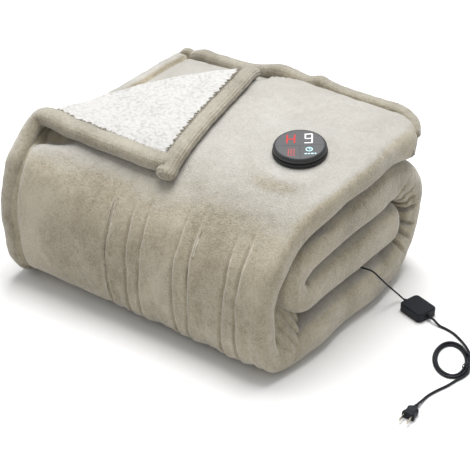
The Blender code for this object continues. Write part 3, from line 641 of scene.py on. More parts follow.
@dataclass(frozen=True)
class Finishes:
    """Every finish of the blanket, made once."""

    plush: Material
    hem: Material
    loops: Material
    fleece: Material
    case: Material
    foot: Material
    face: Material
    groove: Material
    cord: Material
    box: Material
    metal: Material
    red: Material
    dim_red: Material
    white: Material
    cyan: Material

    @classmethod
    def make(cls) -> "Finishes":
        """Builds every material.

        Returns:
            All of them.
        """
        return cls(
            plush=PlushFinish().build("plush"),
            # Painted shade: the hem colours are darker copies of the plush's and stand in for the shade on
            # the rolled hems, the layered end and the turned plush; the second set is the painted light on
            # their tops.
            hem=PlushFinish(((0.190, 0.165, 0.118), (0.300, 0.265, 0.198), (0.410, 0.370, 0.288)),
                            ((0.235, 0.212, 0.166), (0.335, 0.308, 0.250), (0.425, 0.395, 0.328)),
                            tufts_per_m=520.0, strokes_per_m=80.0).build("shaded_hem_plush"),
            # Painted shade: the loops along the fleece's edge are coloured far darker than the plush, as the
            # shade between them.
            loops=PlushFinish(((0.11, 0.093, 0.066), (0.19, 0.165, 0.125), (0.30, 0.268, 0.210)),
                              ((0.13, 0.112, 0.082), (0.22, 0.195, 0.152), (0.33, 0.300, 0.245)),
                              ).build("shaded_edge_loops"),
            fleece=FleeceFinish().build("curly_fleece"),
            case=PlasticFinish((0.016, 0.017, 0.018), Gloss.SATIN, 0.3).build("case_plastic"),
            foot=PlasticFinish((0.010, 0.011, 0.012), Gloss.GRAINED).build("foot_plastic"),
            face=PlasticFinish((0.080, 0.080, 0.083), Gloss.GRAINED, 0.0, 0.25).build("display_face"),
            groove=PlasticFinish((0.020, 0.020, 0.022), Gloss.SATIN).build("display_line"),
            cord=PlasticFinish((0.008, 0.009, 0.013), Gloss.SOFT, 0.0, 0.25).build("cord_rubber"),
            box=PlasticFinish((0.008, 0.010, 0.014), Gloss.SOFT, 0.0, 0.22).build("box_plastic"),
            metal=MetalFinish().build("blade_metal"),
            red=LitFinish((0.40, 0.006, 0.006), 0.5).build("lit_red"),
            dim_red=LitFinish((0.30, 0.045, 0.045), 0.35).build("dim_red"),
            white=LitFinish((0.80, 0.80, 0.80), 0.5).build("lit_white"),
            cyan=LitFinish((0.42, 0.68, 0.74), 0.5).build("lit_cyan"),
        )


# ---------------------------------------------------------------- camera, light and floor


@dataclass
class Studio:
    """The camera at the photograph's angle, soft light from above and a pale floor."""

    azimuth: float = math.radians(36.0)
    elevation: float = math.radians(33.4)
    distance: float = 2.30
    across: float = 0.0153
    above: float = 0.0507
    lens: float = 98.4
    sensor: float = 36.0
    world_strength: float = 0.47
    lamps: tuple = (("top_light", (-0.10, 0.34, 2.15), 1.5, 64.0),
                    ("left_light", (-1.7, -0.9, 1.5), 1.6, 4.0))
    lamps_aim: tuple = (0.0, 0.0, 0.12)
    floor_half: float = 30.0

    def camera(self) -> None:
        """Makes the scene's camera."""
        sin_a, cos_a = math.sin(self.azimuth), math.cos(self.azimuth)
        sin_e, cos_e = math.sin(self.elevation), math.cos(self.elevation)
        back = Vector((sin_a * cos_e, -cos_a * cos_e, sin_e))
        right = Vector((cos_a, sin_a, 0.0))
        up = back.cross(right)
        data = bpy.data.cameras.new("photo_camera")
        data.lens = self.lens
        data.sensor_width = self.sensor
        obj = bpy.data.objects.new("photo_camera", data)
        axes = Matrix((right, up, back)).transposed().to_4x4()
        place = back * self.distance + right * self.across + up * self.above + PLAN_SHIFT
        obj.matrix_world = Matrix.Translation(place) @ axes
        bpy.context.collection.objects.link(obj)
        bpy.context.scene.camera = obj

    def light(self) -> None:
        """Makes the world's even light and the soft lamps."""
        world = bpy.data.worlds.new("studio_world")
        world.use_nodes = True
        sockets = world.node_tree.nodes["Background"].inputs
        sockets["Color"].default_value = (1.0, 1.0, 1.0, 1.0)
        sockets["Strength"].default_value = self.world_strength
        bpy.context.scene.world = world
        bpy.context.scene.view_settings.view_transform = "Standard"
        for lamp in self.lamps:
            self._lamp(*lamp)

    def _lamp(self, name: str, place: tuple, size: float, power: float) -> None:
        """Adds one square lamp that faces the blanket.

        Args:
            name: Its name.
            place: Where it hangs.
            size: Its side.
            power: Its power in watts.
        """
        data = bpy.data.lights.new(name, "AREA")
        data.size = size
        data.energy = power
        obj = bpy.data.objects.new(name, data)
        obj.location = place
        aim = Vector(self.lamps_aim) - Vector(place)
        obj.rotation_euler = aim.to_track_quat("-Z", "Y").to_euler()
        bpy.context.collection.objects.link(obj)

    def floor(self) -> None:
        """Makes the pale floor, with a slight mottle."""
        g = Graph("studio_floor")
        cloud = g.noise(g.place(), 3.0)
        colour = g.mix(cloud, (0.90, 0.90, 0.90, 1.0), (0.92, 0.92, 0.92, 1.0))
        finish = g.finish(Base_Color=colour, Roughness=0.9, Specular_IOR_Level=0.0)
        signs = ((-1, -1), (1, -1), (1, 1), (-1, 1))
        points = [(x * self.floor_half, y * self.floor_half, 0.0) for x, y in signs]
        add_mesh("studio_floor", np.array(points), [(0, 1, 2, 3)], finish)


# ---------------------------------------------------------------- rolled plush


@dataclass(frozen=True)
class Fold:
    """A soft trough or ridge pressed into the cloth.

    A point of it is a row of the fold line and a distance from the left end to the right. The depth,
    which is below 0 for a ridge, and the half width are in millimetres.
    """

    points: tuple
    depth: float
    half: float
    inner: bool = False


@dataclass(frozen=True)
class Seat:
    """The tilted plane on the cloth that the controller rests on."""

    x: float = 0.173
    y: float = -0.038
    z: float = 0.3030
    front: float = math.radians(6.5)
    right: float = math.radians(1.5)

    def height(self, x: Array, y: Array) -> Array:
        """Height of the plane over plan points."""
        return self.z + math.tan(self.front) * (y - self.y) - math.tan(self.right) * (x - self.x)

    def away(self, points: Array) -> Array:
        """Distance in plan from the controller's middle."""
        return np.hypot(points[..., 0] - self.x, points[..., 1] - self.y)

    def placement(self) -> Matrix:
        """The controller's frame, with Z out of its face."""
        tilt = Matrix.Rotation(self.right, 4, "Y") @ Matrix.Rotation(self.front, 4, "X")
        return Matrix.Translation((self.x, self.y, self.z)) @ tilt


@dataclass
class RolledPlush:
    """The folded and rolled plush cloth, as one thin skin with its hemmed layers at the left."""

    row_spans: tuple = ((1.0, 12.5, 15), (12.5, 16.0, 7), (16.0, 20.4, 22), (20.4, 29.0, 8))
    tip_rows: tuple = (0.35, 0.95, 8)
    tip_step: float = 6.0
    tip_groove: float = 4.0 * MM
    tip_grooves: tuple = ((0.0, 0.12), (0.52, 0.09))
    half_length: float = 0.28575
    plain_end: float = 0.205
    station_step: float = 6.5 * MM
    edge_angles: tuple = (0, 10, 20, 30, 40, 49, 57, 64, 70, 76, 81, 86)
    blend_end: float = 0.06
    edge_fullness: float = 0.76
    reach_wave: float = 2.0 * MM
    face_wave: float = 1.6 * MM
    hem_width: float = 24 * MM
    hem_raise: float = 4.5 * MM
    hem_groove: float = 1.8 * MM
    groove_half: float = 2.6 * MM
    groove_widen: float = 0.7 * MM
    left_groove: float = 3.6
    back_groove: float = 4.5
    rib_pitch: float = 7.5 * MM
    rib_height: float = 0.35 * MM
    end_layers: int = 4
    layer_steps: int = 9
    end_bulge: float = 7 * MM
    edge_round: float = 8 * MM
    last_hem_row: float = 12.0
    top_rows: float = 6.2
    top_layer: float = 14 * MM
    settled: float = 1.6 * MM
    crease_slope: float = 20 * MM
    channel_lines: tuple = (-0.060, -0.022, 0.004, 0.072, 0.099, 0.168, 0.195)
    channel_starts: tuple = (6.35, 6.25, 6.1, 5.95, 5.9, 5.8, 5.75)
    channel_ends: tuple = (11.2, 12.1, 11.9, 12.1, 12.2, 12.2, 12.2)
    channel_depth: float = 4.2 * MM
    channel_half: float = 7 * MM
    corner_x: float = 0.212
    corner_radius: float = 84 * MM
    corner_droop: float = 16 * MM
    corner_rows: float = 2.6
    hump_x: float = -0.022
    hump_half: float = 44 * MM
    hump_rise: float = 7 * MM
    pucker_pull: float = 1.4
    tuck_x: float = 0.2560
    tuck_lean: float = 0.42
    tuck_y: float = -0.150
    tuck_z: float = 0.080
    tuck_wide: float = 66 * MM
    tuck_high: float = 50 * MM
    pleat_pitch: float = 20 * MM
    pleat_depth: float = 4.0 * MM
    tuck_steps: tuple = (90, 44)
    seat: Seat = Seat()
    seat_radius: float = 44 * MM
    seat_margin: float = 30 * MM
    seat_flat: float = 62 * MM
    seat_blend: float = 95 * MM
    nap: tuple = ((1.5, 0.052, 1), (0.8, 0.021, 2), (0.28, 0.0085, 3))
    flat_size: tuple = (2 * 0.575, 2.05)
    folds: tuple = (
        Fold(((24.15, 0.250), (24.9, 0.268), (25.7, 0.256)), 7, 5.5),
        Fold(((29.3, 0.262), (28.6, 0.274)), -3.5, 8, True),
        Fold(((20.6, 0.262), (21.2, 0.282)), -3, 12),
        Fold(((20.05, 0.226), (19.85, 0.285)), 13, 4.2, True),
        Fold(((19.45, 0.230), (19.3, 0.285)), 12, 3.6, True),
        Fold(((18.75, 0.232), (18.7, 0.284)), 6, 4.0, True),
        Fold(((18.2, 0.230), (18.1, 0.284)), 11, 3.6, True),
        Fold(((17.45, 0.236), (17.25, 0.285)), 13, 3.8, True),
        Fold(((16.95, 0.238), (16.75, 0.285)), 12, 3.6, True),
        Fold(((16.45, 0.244), (16.3, 0.285)), 10, 3.6, True),
        Fold(((20.0, 0.274), (18.6, 0.2735), (17.0, 0.274)), 5, 3.0, True),
        Fold(((15.6, 0.246), (15.3, 0.280)), 5, 5.0, True),
        Fold(((24.0, 0.232), (23.0, 0.262), (22.6, 0.272)), 3.5, 5),
        Fold(((22.1, 0.240), (21.9, 0.274)), 3.0, 5),
        Fold(((12.4, 0.215), (11.75, 0.240), (11.05, 0.264)), 6, 4, True),
        Fold(((12.75, 0.235), (12.2, 0.262), (11.7, 0.272)), 5, 3.6, True),
        Fold(((11.4, 0.222), (10.7, 0.246)), 5, 3.6, True),
        Fold(((6.0, -0.262), (5.85, -0.235), (5.7, -0.196)), 21, 13),
        Fold(((9.2, 0.247), (10.0, 0.250), (10.8, 0.252)), 3.5, 4.5),
        Fold(((9.9, 0.232), (10.9, 0.238), (11.5, 0.247)), 3, 4.0),
        Fold(((8.6, -0.078), (9.8, -0.070), (11.6, -0.074)), 2.4, 7),
        Fold(((9.4, -0.046), (10.6, -0.040), (12.0, -0.047)), 2.8, 6),
        Fold(((9.0, 0.028), (10.2, 0.036), (12.0, 0.030)), 3.0, 8),
        Fold(((9.8, 0.052), (10.8, 0.056), (12.1, 0.050)), 2.4, 5),
        Fold(((8.8, 0.124), (10.0, 0.133), (11.9, 0.128)), 3.0, 8),
        Fold(((10.0, 0.150), (11.0, 0.147), (12.1, 0.153)), 2.6, 5),
        Fold(((9.2, 0.216), (10.4, 0.221), (11.8, 0.217)), 3.0, 6),
        Fold(((7.4, 0.246), (7.9, 0.250), (8.6, 0.249)), 2.5, 5.0),
    )

    def left_share(self, x: Array) -> Array:
        """How much of the left end's section holds at x."""
        return 1.0 - smoothstep((x + self.half_length) / (self.blend_end + self.half_length))

    def section(self, x: float) -> Array:
        """The fold line's y, z, half and reach at x."""
        right, left = FOLD_LINE[:, :3], FOLD_LINE[:, 4:]
        return np.hstack([right + (left - right) * self.left_share(x), FOLD_LINE[:, 3:4]])

    def sample_rows(self) -> Array:
        """Row numbers where a section is sampled, closest together where the cloth is creased."""
        spans = [np.arange(first, last, 1.0 / count) for first, last, count in self.row_spans]
        return np.concatenate([np.linspace(*self.tip_rows), *spans, [len(FOLD_LINE) - 2.0]])

    def free_end(self, tip: Array, direction: Array) -> tuple:
        """Samples round a free end, grooved between its layers.

        Args:
            tip: The fold line's last row.
            direction: The way inwards, in y and z.

        Returns:
            The samples and their thickness shares.
        """
        angles = np.radians(np.concatenate([[90.0], np.arange(86.0, 0.0, -self.tip_step), [0.0]]))
        samples = np.repeat(tip[None, :], len(angles), axis=0)
        share = np.cos(angles)
        groove = self.tip_groove * sum(bell(share, *place) for place in self.tip_grooves)
        samples[:, :2] += direction * (tip[2] * (1.0 - np.sin(angles)) + groove)[:, None]
        return samples, share

    def fold_samples(self, x: float) -> tuple:
        """Samples of the section at x.

        Args:
            x: Distance along the block.

        Returns:
            The samples (y, z, half, reach), their normals, thickness shares and row numbers.
        """
        rows = self.section(x)
        at = self.sample_rows()
        fine = catmull_rom(rows, at)
        ahead = catmull_rom(rows, at + 0.01)[:, :2] - catmull_rom(rows, at - 0.01)[:, :2]
        first, last = rows[1, :2] - rows[0, :2], rows[-2, :2] - rows[-1, :2]
        start, start_share = self.free_end(rows[0], unit(first))
        end, end_share = self.free_end(rows[-1], unit(last))
        samples = np.vstack([start, fine, end[::-1]])
        ahead = unit(np.vstack([[first] * len(start), ahead, [-last] * len(end)]))
        normals = np.stack([ahead[:, 1], -ahead[:, 0]], axis=1)
        shares = np.concatenate([start_share, np.ones(len(at)), end_share[::-1]])
        numbers = np.concatenate([np.zeros(len(start)), at, np.full(len(end), len(rows) - 1.0)])
        return samples, normals, shares, numbers

    def stations(self) -> list:
        """Every station along the block.

        Returns:
            Rows of x, share of the way to the folded edge, and degrees round that edge.
        """
        start = -self.half_length + self.end_bulge
        runs = [start + np.linspace(0, 8 * MM, 7), start + np.linspace(10 * MM, 34 * MM, 13),
                np.arange(start + 40 * MM, self.plain_end, self.station_step)]
        runs += [x + np.linspace(-1.2, 1.2, 11) * self.channel_half for x in self.channel_lines]
        places = sorted(set(np.round(np.concatenate(runs), 5)))
        kept = [(x, 0.0, 0.0) for x in places if x <= self.plain_end]
        kept += [(self.plain_end, share, 0.0) for share in np.linspace(0.12, 0.9, 8)]
        return kept + [(self.half_length, 1.0, angle) for angle in self.edge_angles]

    def hem(self, distance: Array, along: Array, deeper: float = 1.0) -> Array:
        """Height of a rolled hem over the cloth.

        Args:
            distance: Distance from the cloth's edge.
            along: Distance along that edge.
            deeper: How much deeper the groove is than on a plain hem.

        Returns:
            The height, with the ribs of the nap and the groove beside the hem.
        """
        share = np.clip(distance / self.hem_width, 0, 1)
        roll = self.hem_raise * np.sin(np.pi * share) ** 0.6
        ribs = self.rib_height * np.sin(2 * np.pi * along / self.rib_pitch + 2.0 * np.sin(31.0 * along))
        beside = bell(distance, self.hem_width + deeper * MM, self.groove_half + deeper * self.groove_widen)
        return roll + ribs * np.sin(np.pi * share) - deeper * self.hem_groove * beside

    def channels(self, x: Array, numbers: Array) -> Array:
        """Height of the sewn lines on the front.

        Args:
            x: Distance along the block.
            numbers: Rows of the fold line.

        Returns:
            The height, below 0 in a line and a little above it beside one.
        """
        total = np.zeros(np.broadcast(x, numbers).shape)
        lines = zip(self.channel_lines, self.channel_starts, self.channel_ends)
        for k, (line, start, end) in enumerate(lines):
            window = smoothstep((numbers - start) / 1.5) * smoothstep((end - numbers) / 0.9)
            bend = 1.6 * MM * np.sin(1.3 * numbers + 2.1 * k) + 0.5 * MM * np.sin(4.3 * numbers + k)
            away = (x - line - bend * window) / self.channel_half
            uneven = 0.80 + 0.20 * np.sin(2.6 * numbers + 1.3 * k) + 0.35 * smoothstep((numbers - 8.6) / 2.2)
            total += window * uneven * (0.30 * bell(away, 1.1, 0.7) - bell(away, 0.0, 0.34))
        return self.channel_depth * total

    def waves(self, x: Array, travelled: Array) -> Array:
        """Soft unevenness of the outer cloth, the same as on the solid.

        Args:
            x: Places along the block.
            travelled: Distances along the fold line.

        Returns:
            The height.
        """
        slow = np.sin(11.0 * x + 5.0 * travelled + 0.6) * np.sin(17.0 * travelled - 6.0 * x)
        quick = 0.5 * np.sin(31.0 * x - 12.0 * travelled) * np.sin(27.0 * travelled + 1.3)
        return self.face_wave * (slow + quick)

    @staticmethod
    def behind_crease(x: Array, y: Array) -> Array:
        """Distance in plan behind the crease of the turned-back corner.

        Args:
            x: Plan coordinates.
            y: The same.

        Returns:
            The distance, below 0 in front of it.
        """
        best = np.full(np.shape(x), np.inf)
        for start, end in zip(CREASE_ROUTE[:-1], CREASE_ROUTE[1:]):
            along = end - start
            share = np.clip(((x - start[0]) * along[0] + (y - start[1]) * along[1]) / (along @ along), 0, 1)
            dx, dy = x - start[0] - share * along[0], y - start[1] - share * along[1]
            signed = np.sign(along[0] * dy - along[1] * dx) * np.hypot(dx, dy)
            best = np.where(np.abs(signed) < np.abs(best), signed, best)
        return best

    def pressed(self, x: Array, travelled: Array, numbers: Array, inner: bool) -> Array:
        """Height of the creases that are listed.

        Args:
            x: Places along the block.
            travelled: Distances along the fold line.
            numbers: Rows of the fold line.
            inner: Whether this is the inner face of the folded cloth.

        Returns:
            The height, below 0 in a trough.
        """
        total = np.zeros(len(x))
        for fold in self.folds:
            if fold.inner != inner:
                continue
            route = np.array([(np.interp(row, numbers, travelled), place) for row, place in fold.points])
            here = np.column_stack([travelled, x])
            best = np.full(len(x), np.inf)
            taper = np.zeros(len(x))
            for k, (start, end) in enumerate(zip(route[:-1], route[1:])):
                along = end - start
                share = np.clip((here - start) @ along / (along @ along), 0, 1)
                far = np.linalg.norm(here - start - share[:, None] * along, axis=1)
                nearer = far < best
                best = np.where(nearer, far, best)
                taper = np.where(nearer, (k + share) / (len(route) - 1), taper)
            fade = np.sin(np.pi * np.clip(0.08 + 0.84 * taper, 0, 1)) ** 0.5
            total -= fold.depth * MM * fade * bell(best, 0.0, fold.half * MM)
        return total

    def top_relief(self, places: Array, depth: Array, travelled: Array,
                   numbers: Array, shares: Array) -> Array:
        """Height of the back hem and its hump, less the layer that is turned back at the corner.

        Args:
            places: Places along the block.
            depth: Places across it.
            travelled: Distances along the fold line.
            numbers: Rows of the fold line.
            shares: Thickness shares.

        Returns:
            The height.
        """
        rise = -(((places - self.hump_x) / self.hump_half) ** 2) - (travelled / self.hem_width - 0.6) ** 2
        hump = self.hump_rise * np.exp(rise)
        behind = self.behind_crease(places, depth) + self.crease_slope
        lowered = self.top_layer * smoothstep(behind / self.crease_slope)
        raised = (self.hem(travelled, places, self.back_groove) + hump) * (numbers < 1.0)
        return (raised - np.where(numbers < self.top_rows, lowered, 0.0)) * shares

    def station(self, x: float, share_out: float, angle: float) -> tuple:
        """Outer and inner points of one station.

        Args:
            x: Distance along the block.
            share_out: Share of the way from the last plain station to the folded edge.
            angle: Degrees round the folded edge.

        Returns:
            The outer points, the inner points and the row numbers.
        """
        samples, normals, shares, numbers = self.fold_samples(x)
        half = samples[:, 2]
        travelled = length_along(samples[:, :2])
        reach = samples[:, 3] + self.reach_wave * np.sin(38.0 * travelled) * np.sin(9.0 * travelled + 1.0)
        turn = math.radians(angle)
        if share_out < 1.0:
            places = x + (reach - half - x) * share_out
            inset = x + self.half_length - self.end_bulge
            short = max(self.edge_round - inset, 0.0)
            lost = self.edge_round - math.sqrt(max(self.edge_round**2 - short**2, 0.0))
            thickness = (half - lost) * shares
            relief = np.where(numbers <= self.last_hem_row, self.hem(inset, travelled, self.left_groove), 0.0)
            relief = relief + self.channels(places, numbers)
        else:
            out = math.sin(turn) ** self.edge_fullness
            places = reach - half * (1.0 - out) - half * (1.0 - shares) * out
            thickness = half * shares * math.cos(turn) ** self.edge_fullness
            relief = np.zeros(len(half))
        outer_cloth = smoothstep(numbers / 0.8) * smoothstep((13.0 - numbers) / 1.5)
        relief = relief + self.waves(places, travelled) * outer_cloth * thickness / half
        relief = relief + self.top_relief(places, samples[:, 0], travelled, numbers, shares)
        keep = np.sqrt(np.clip(thickness / half, 0.0, 1.0))
        outer_relief = relief + self.pressed(places, travelled, numbers, False) * keep
        inner_relief = self.pressed(places, travelled, numbers, True) * keep
        outer = np.column_stack([places, samples[:, :2] + normals * (thickness + outer_relief)[:, None]])
        pulled = np.minimum(inner_relief, 0.0) * keep * math.sin(turn) * self.pucker_pull
        inner = samples[:, :2] - normals * (thickness + inner_relief)[:, None]
        inner = np.column_stack([places + pulled, inner])
        for points in (outer, inner):
            self.droop(points, numbers)
        flat = 1.0 - smoothstep((self.seat.away(outer) - self.seat_flat) / (self.seat_blend - self.seat_flat))
        flat = np.where(numbers < self.top_rows, flat, 0.0)
        outer[:, 2] += flat * (self.seat.height(outer[:, 0], outer[:, 1]) - TOUCH - outer[:, 2])
        return outer, inner, numbers

    def droop(self, points: Array, numbers: Array) -> None:
        """Rounds the top's right back corner and lets it droop.

        Args:
            points: One face's points, which are moved.
            numbers: Rows of the fold line.
        """
        past = np.clip((points[:, 0] - self.corner_x) / self.corner_radius, 0.0, 0.93)
        rounded = (1.0 - np.sqrt(1.0 - past**2)) * np.clip(1.0 - numbers / self.corner_rows, 0.0, 1.0) ** 0.8
        points[:, 1] -= self.corner_radius * rounded
        points[:, 2] -= self.corner_droop * rounded

    def roughen(self, points: Array, keep: Array) -> Array:
        """Pushes a skin's points in and out by the lie of its nap.

        Args:
            points: A grid of points.
            keep: How much of the unevenness each point takes.

        Returns:
            The moved points.
        """
        normal = unit(np.cross(np.gradient(points, axis=1), np.gradient(points, axis=0)))
        height = sum(rise * lumps(points, wide, seed) for rise, wide, seed in self.nap)
        moved = points + normal * (height * MM * keep)[..., None]
        on_floor = points[..., 2] < self.settled
        moved[..., 2] = np.where(on_floor, 0.0, np.maximum(moved[..., 2], 0.0))
        return moved

    def skin(self) -> Array:
        """The whole skin.

        Returns:
            A grid of points, one row for each station down the outside and back up the inside.
        """
        outers, inners, numbers = zip(*(self.station(*place) for place in self.stations()))
        grid = np.stack(list(outers) + list(inners)[::-1])
        row = numbers[0]
        clear = smoothstep((self.seat.away(grid) - self.seat_radius) / self.seat_margin)
        on_top = (row < self.top_rows)[None, :] & (np.arange(len(grid)) < len(outers))[:, None]
        keep = np.where(on_top, clear, 1.0)
        tips = smoothstep((row - 0.1) / 0.3) * smoothstep((len(FOLD_LINE) - 1.05 - row) / 0.3)
        keep = keep * np.maximum(tips, 0.15)[None, :]
        ends = np.minimum(np.arange(len(grid)), np.arange(len(grid))[::-1])
        keep = keep * smoothstep(ends / 6.0)[:, None]
        return self.roughen(grid, keep)

    def layered_end(self, outer: Array, inner: Array) -> Array:
        """Rows of points across the hemmed end, which bulges once for each of its layers.

        Args:
            outer: The outer skin's edge.
            inner: The inner skin's edge.

        Returns:
            A grid from the outer edge to the inner one.
        """
        rows = []
        steps = self.layer_steps * self.end_layers
        along = np.arange(len(outer))
        for k in range(steps + 1):
            share = k / steps
            part = share * self.end_layers
            in_layer = part - math.floor(min(part, self.end_layers - 1e-6))
            bulge = math.sqrt(max(1.0 - (2.0 * in_layer - 1.0) ** 2, 0.0))
            row = outer + (inner - outer) * share
            wobble = 1.0 + 0.12 * np.sin(0.21 * along + 2.0 * math.floor(part))
            if 0 < k < steps:
                row[:, 0] -= np.minimum(self.end_bulge * bulge * wobble, self.end_bulge)
            rows.append(row)
        return np.stack(rows)

    def tuck(self) -> Array:
        """Cloth that is crushed into pleats between the roll and the front's lower fold.

        Returns:
            The points.
        """
        u, v = np.meshgrid(*(np.linspace(-1, 1, steps) for steps in self.tuck_steps))
        y = self.tuck_y + self.tuck_wide * u
        z = self.tuck_z + self.tuck_high * v
        away = (y + 0.42 * z) / self.pleat_pitch
        away = away + 0.12 * np.sin(3.1 * v + 1.0) + 0.16 * np.sin(2.2 * u)
        pleats = np.abs(np.cos(np.pi * away)) ** 9 + 0.30 * np.cos(2 * np.pi * away + 1.1)
        dome = 0.022 * np.abs(u) ** 4 + 0.012 * np.abs(v) ** 4 + 0.024 * smoothstep((u + 0.35) / 0.9)
        pleats = pleats * smoothstep((0.75 - u) / 0.9)
        x = self.tuck_x + self.tuck_lean * (self.tuck_z - z) - dome - self.pleat_depth * pleats
        grid = np.stack([x, y, z], axis=2)
        grid[..., 0] += MM * lumps(grid, 0.011, 61)
        return grid

    def build(self, finishes: Finishes) -> tuple:
        """Makes the skin, the layered end and the crushed fold.

        Args:
            finishes: The finishes.

        Returns:
            The three pieces and the finished skin.
        """
        grid = self.skin()
        count = grid.shape[1]
        skin = add_mesh("rolled_cloth", grid.reshape(-1, 3), grid_faces(len(grid), count), finishes.plush)
        end = self.layered_end(grid[0], grid[-1])
        cap = add_mesh("layered_end", end.reshape(-1, 3), grid_faces(len(end), count)[:, ::-1], finishes.hem)
        pleated = self.tuck()
        faces = grid_faces(*pleated.shape[:2])
        tuck = add_mesh("crushed_fold", pleated.reshape(-1, 3), faces, finishes.plush)
        for piece in (skin, cap, tuck):
            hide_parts("plush_roll")
            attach(piece, "root")
        stations = len(grid) // 2
        return skin, cap, tuck, Cloth(grid[:stations], grid[stations:][::-1], self.station(0.0, 0.0, 0.0)[2])


# ---------------------------------------------------------------- turned-back corner


class Ground:
    """Height of the rolled cloth's top, straight down from above."""

    def __init__(self, grid: Array) -> None:
        """Keeps the faces of the skin."""
        faces = grid_faces(grid.shape[0], grid.shape[1])
        self.tree = BVHTree.FromPolygons(grid.reshape(-1, 3).tolist(), faces.tolist())

    def height(self, x: float, y: float, lowest: float = 0.20) -> float:
        """Height of the cloth at a plan point."""
        hit = self.tree.ray_cast(Vector((x, y, 1.0)), Vector((0.0, 0.0, -1.0)))[0]
        return lowest if hit is None else max(hit.z, lowest)

    def under(self, plan: Array) -> Array:
        """The highest cloth round each plan point.

        Args:
            plan: An array whose last axis holds plan coordinates.

        Returns:
            One height for each point.
        """
        ring = [(0.0, 0.0)] + [(r * math.cos(k), r * math.sin(k)) for r in (4 * MM, 8 * MM) for k in range(6)]
        flat = [max(self.height(x + dx, y + dy) for dx, dy in ring) for x, y in plan.reshape(-1, 2)]
        return np.array(flat).reshape(plan.shape[:-1])


@dataclass(frozen=True)
class Tube:
    """A rolled hem: a fat soft tube swept along a route."""

    wide: float
    tall: float
    sides: int = 60
    rib_pitch: float = 6.5 * MM
    rib_height: float = 0.30 * MM
    cords: int = 15
    cord_depth: float = 0.25 * MM
    squareness: float = 0.85
    end_rings: int = 8
    nap: tuple = ((0.9, 0.024), (0.5, 0.009))

    def sweep(self, path: Array, up: Array, size: Array, seed: int) -> tuple:
        """Sweeps the tube, with rounded ends.

        Args:
            path: The route of its middle.
            up: The way up at each point.
            size: Share of its full size at each point.
            seed: Number of its nap's pattern.

        Returns:
            The points and the faces.
        """
        tangent = unit(np.gradient(path, axis=0))
        side = unit(np.cross(tangent, up))
        top = np.cross(side, tangent)
        travelled = length_along(path)
        turns = np.linspace(0, 2 * np.pi, self.sides, endpoint=False)
        circle = np.stack([np.cos(turns), np.sin(turns)], axis=1)
        square = np.sign(circle) * np.abs(circle) ** self.squareness
        square = square * (1.0 + self.cord_depth / self.tall * np.cos(self.cords * turns))[:, None]
        ends = np.sin(np.linspace(1.45, 0.0, self.end_rings)[:-1])
        rings = [(0, -offset, math.sqrt(1 - offset**2)) for offset in ends]
        rings += [(k, 0.0, 1.0) for k in range(len(path))]
        rings += [(len(path) - 1, offset, math.sqrt(1 - offset**2)) for offset in ends[::-1]]
        points = []
        for k, offset, scale in rings:
            phase = 2 * math.pi * travelled[k] / self.rib_pitch + 1.5 * math.sin(40.0 * travelled[k])
            ribs = 1.0 + self.rib_height / self.tall * 2 * math.sin(phase)
            wide, tall = (0.5 * v * size[k] * scale * ribs for v in (self.wide, self.tall))
            centre = path[k] + tangent[k] * offset * 0.5 * self.tall * size[k]
            points.append(centre + square[:, :1] * wide * side[k] + square[:, 1:] * tall * top[k])
        grid = np.stack(points)
        outward = unit(grid - grid.mean(axis=1, keepdims=True))
        height = sum(rise * lumps(grid, wide, seed + k) for k, (rise, wide) in enumerate(self.nap))
        grid = grid + outward * (height * MM)[..., None]
        faces = grid_faces(len(grid), self.sides, closed=True).tolist() + end_caps(len(grid), self.sides)
        return grid.reshape(-1, 3), faces


@dataclass
class Cloth:
    """The rolled cloth's finished skin, for the pieces that lie on it."""

    outer: Array
    inner: Array
    numbers: Array
    left_x: float = -0.2705
    left_rows: tuple = (6.85, 12.3, 0.45)
    left_out: tuple = (1.5 * MM, 0.0, 0.0)
    left_lean: tuple = (-0.22, 0.0, 0.0)
    floor_gap: float = 0.5 * MM
    back_inset: float = 16.5 * MM
    back_first: int = 6
    back_rises: tuple = ((11 * MM, -0.012, 0.058), (6 * MM, 0.046, 0.034))
    back_sink: float = 7 * MM

    def left_hem(self, lift: float, tall: float) -> tuple:
        """Middle of the hem down the left end's front.

        Args:
            lift: How far its top stands over the cloth.
            tall: Its full height.

        Returns:
            The route's points and the way out at each.
        """
        column = int(np.argmin(np.abs(self.outer[:, self.outer.shape[1] // 2, 0] - self.left_x)))
        rows = [int(np.argmin(np.abs(self.numbers - row))) for row in np.arange(*self.left_rows)]
        out = unit(self.outer[column, rows] - self.inner[column, rows])
        points = self.outer[column, rows] + out * (lift - tall / 2) + np.array(self.left_out)
        points[:, 2] = np.maximum(points[:, 2], tall / 2 + self.floor_gap)
        return points, out + np.array(self.left_lean)

    def back_hem(self, lift: float, tall: float) -> tuple:
        """Middle of the hem along the top's back edge, from the left end round the right corner.

        Args:
            lift: How far its top stands over the cloth.
            tall: Its full height.

        Returns:
            The route's points and the way out at each.
        """
        middle = len(self.outer) // 2
        inset = np.linalg.norm(self.outer[middle, :, 1:] - self.outer[middle, :1, 1:], axis=1)
        edge = self.outer[:, int(np.argmax(inset > self.back_inset))]
        last = len(self.outer) - 5
        rows = np.array([*range(self.back_first, last - 12, 5), *range(last - 12, last, 2)])
        turned = smoothstep((rows - last + 9) / 9.0)[:, None]
        ways = unit(np.array([0.0, 0.25, 1.0]) + np.array([1.0, 0.3, -0.6]) * turned)
        rise = sum(high * bell(edge[rows, 0], middle, half) for high, middle, half in self.back_rises)
        rise = rise - self.back_sink * bell(rows, self.back_first, self.back_first)
        return edge[rows] + ways * (lift - tall / 2 + rise)[:, None], ways


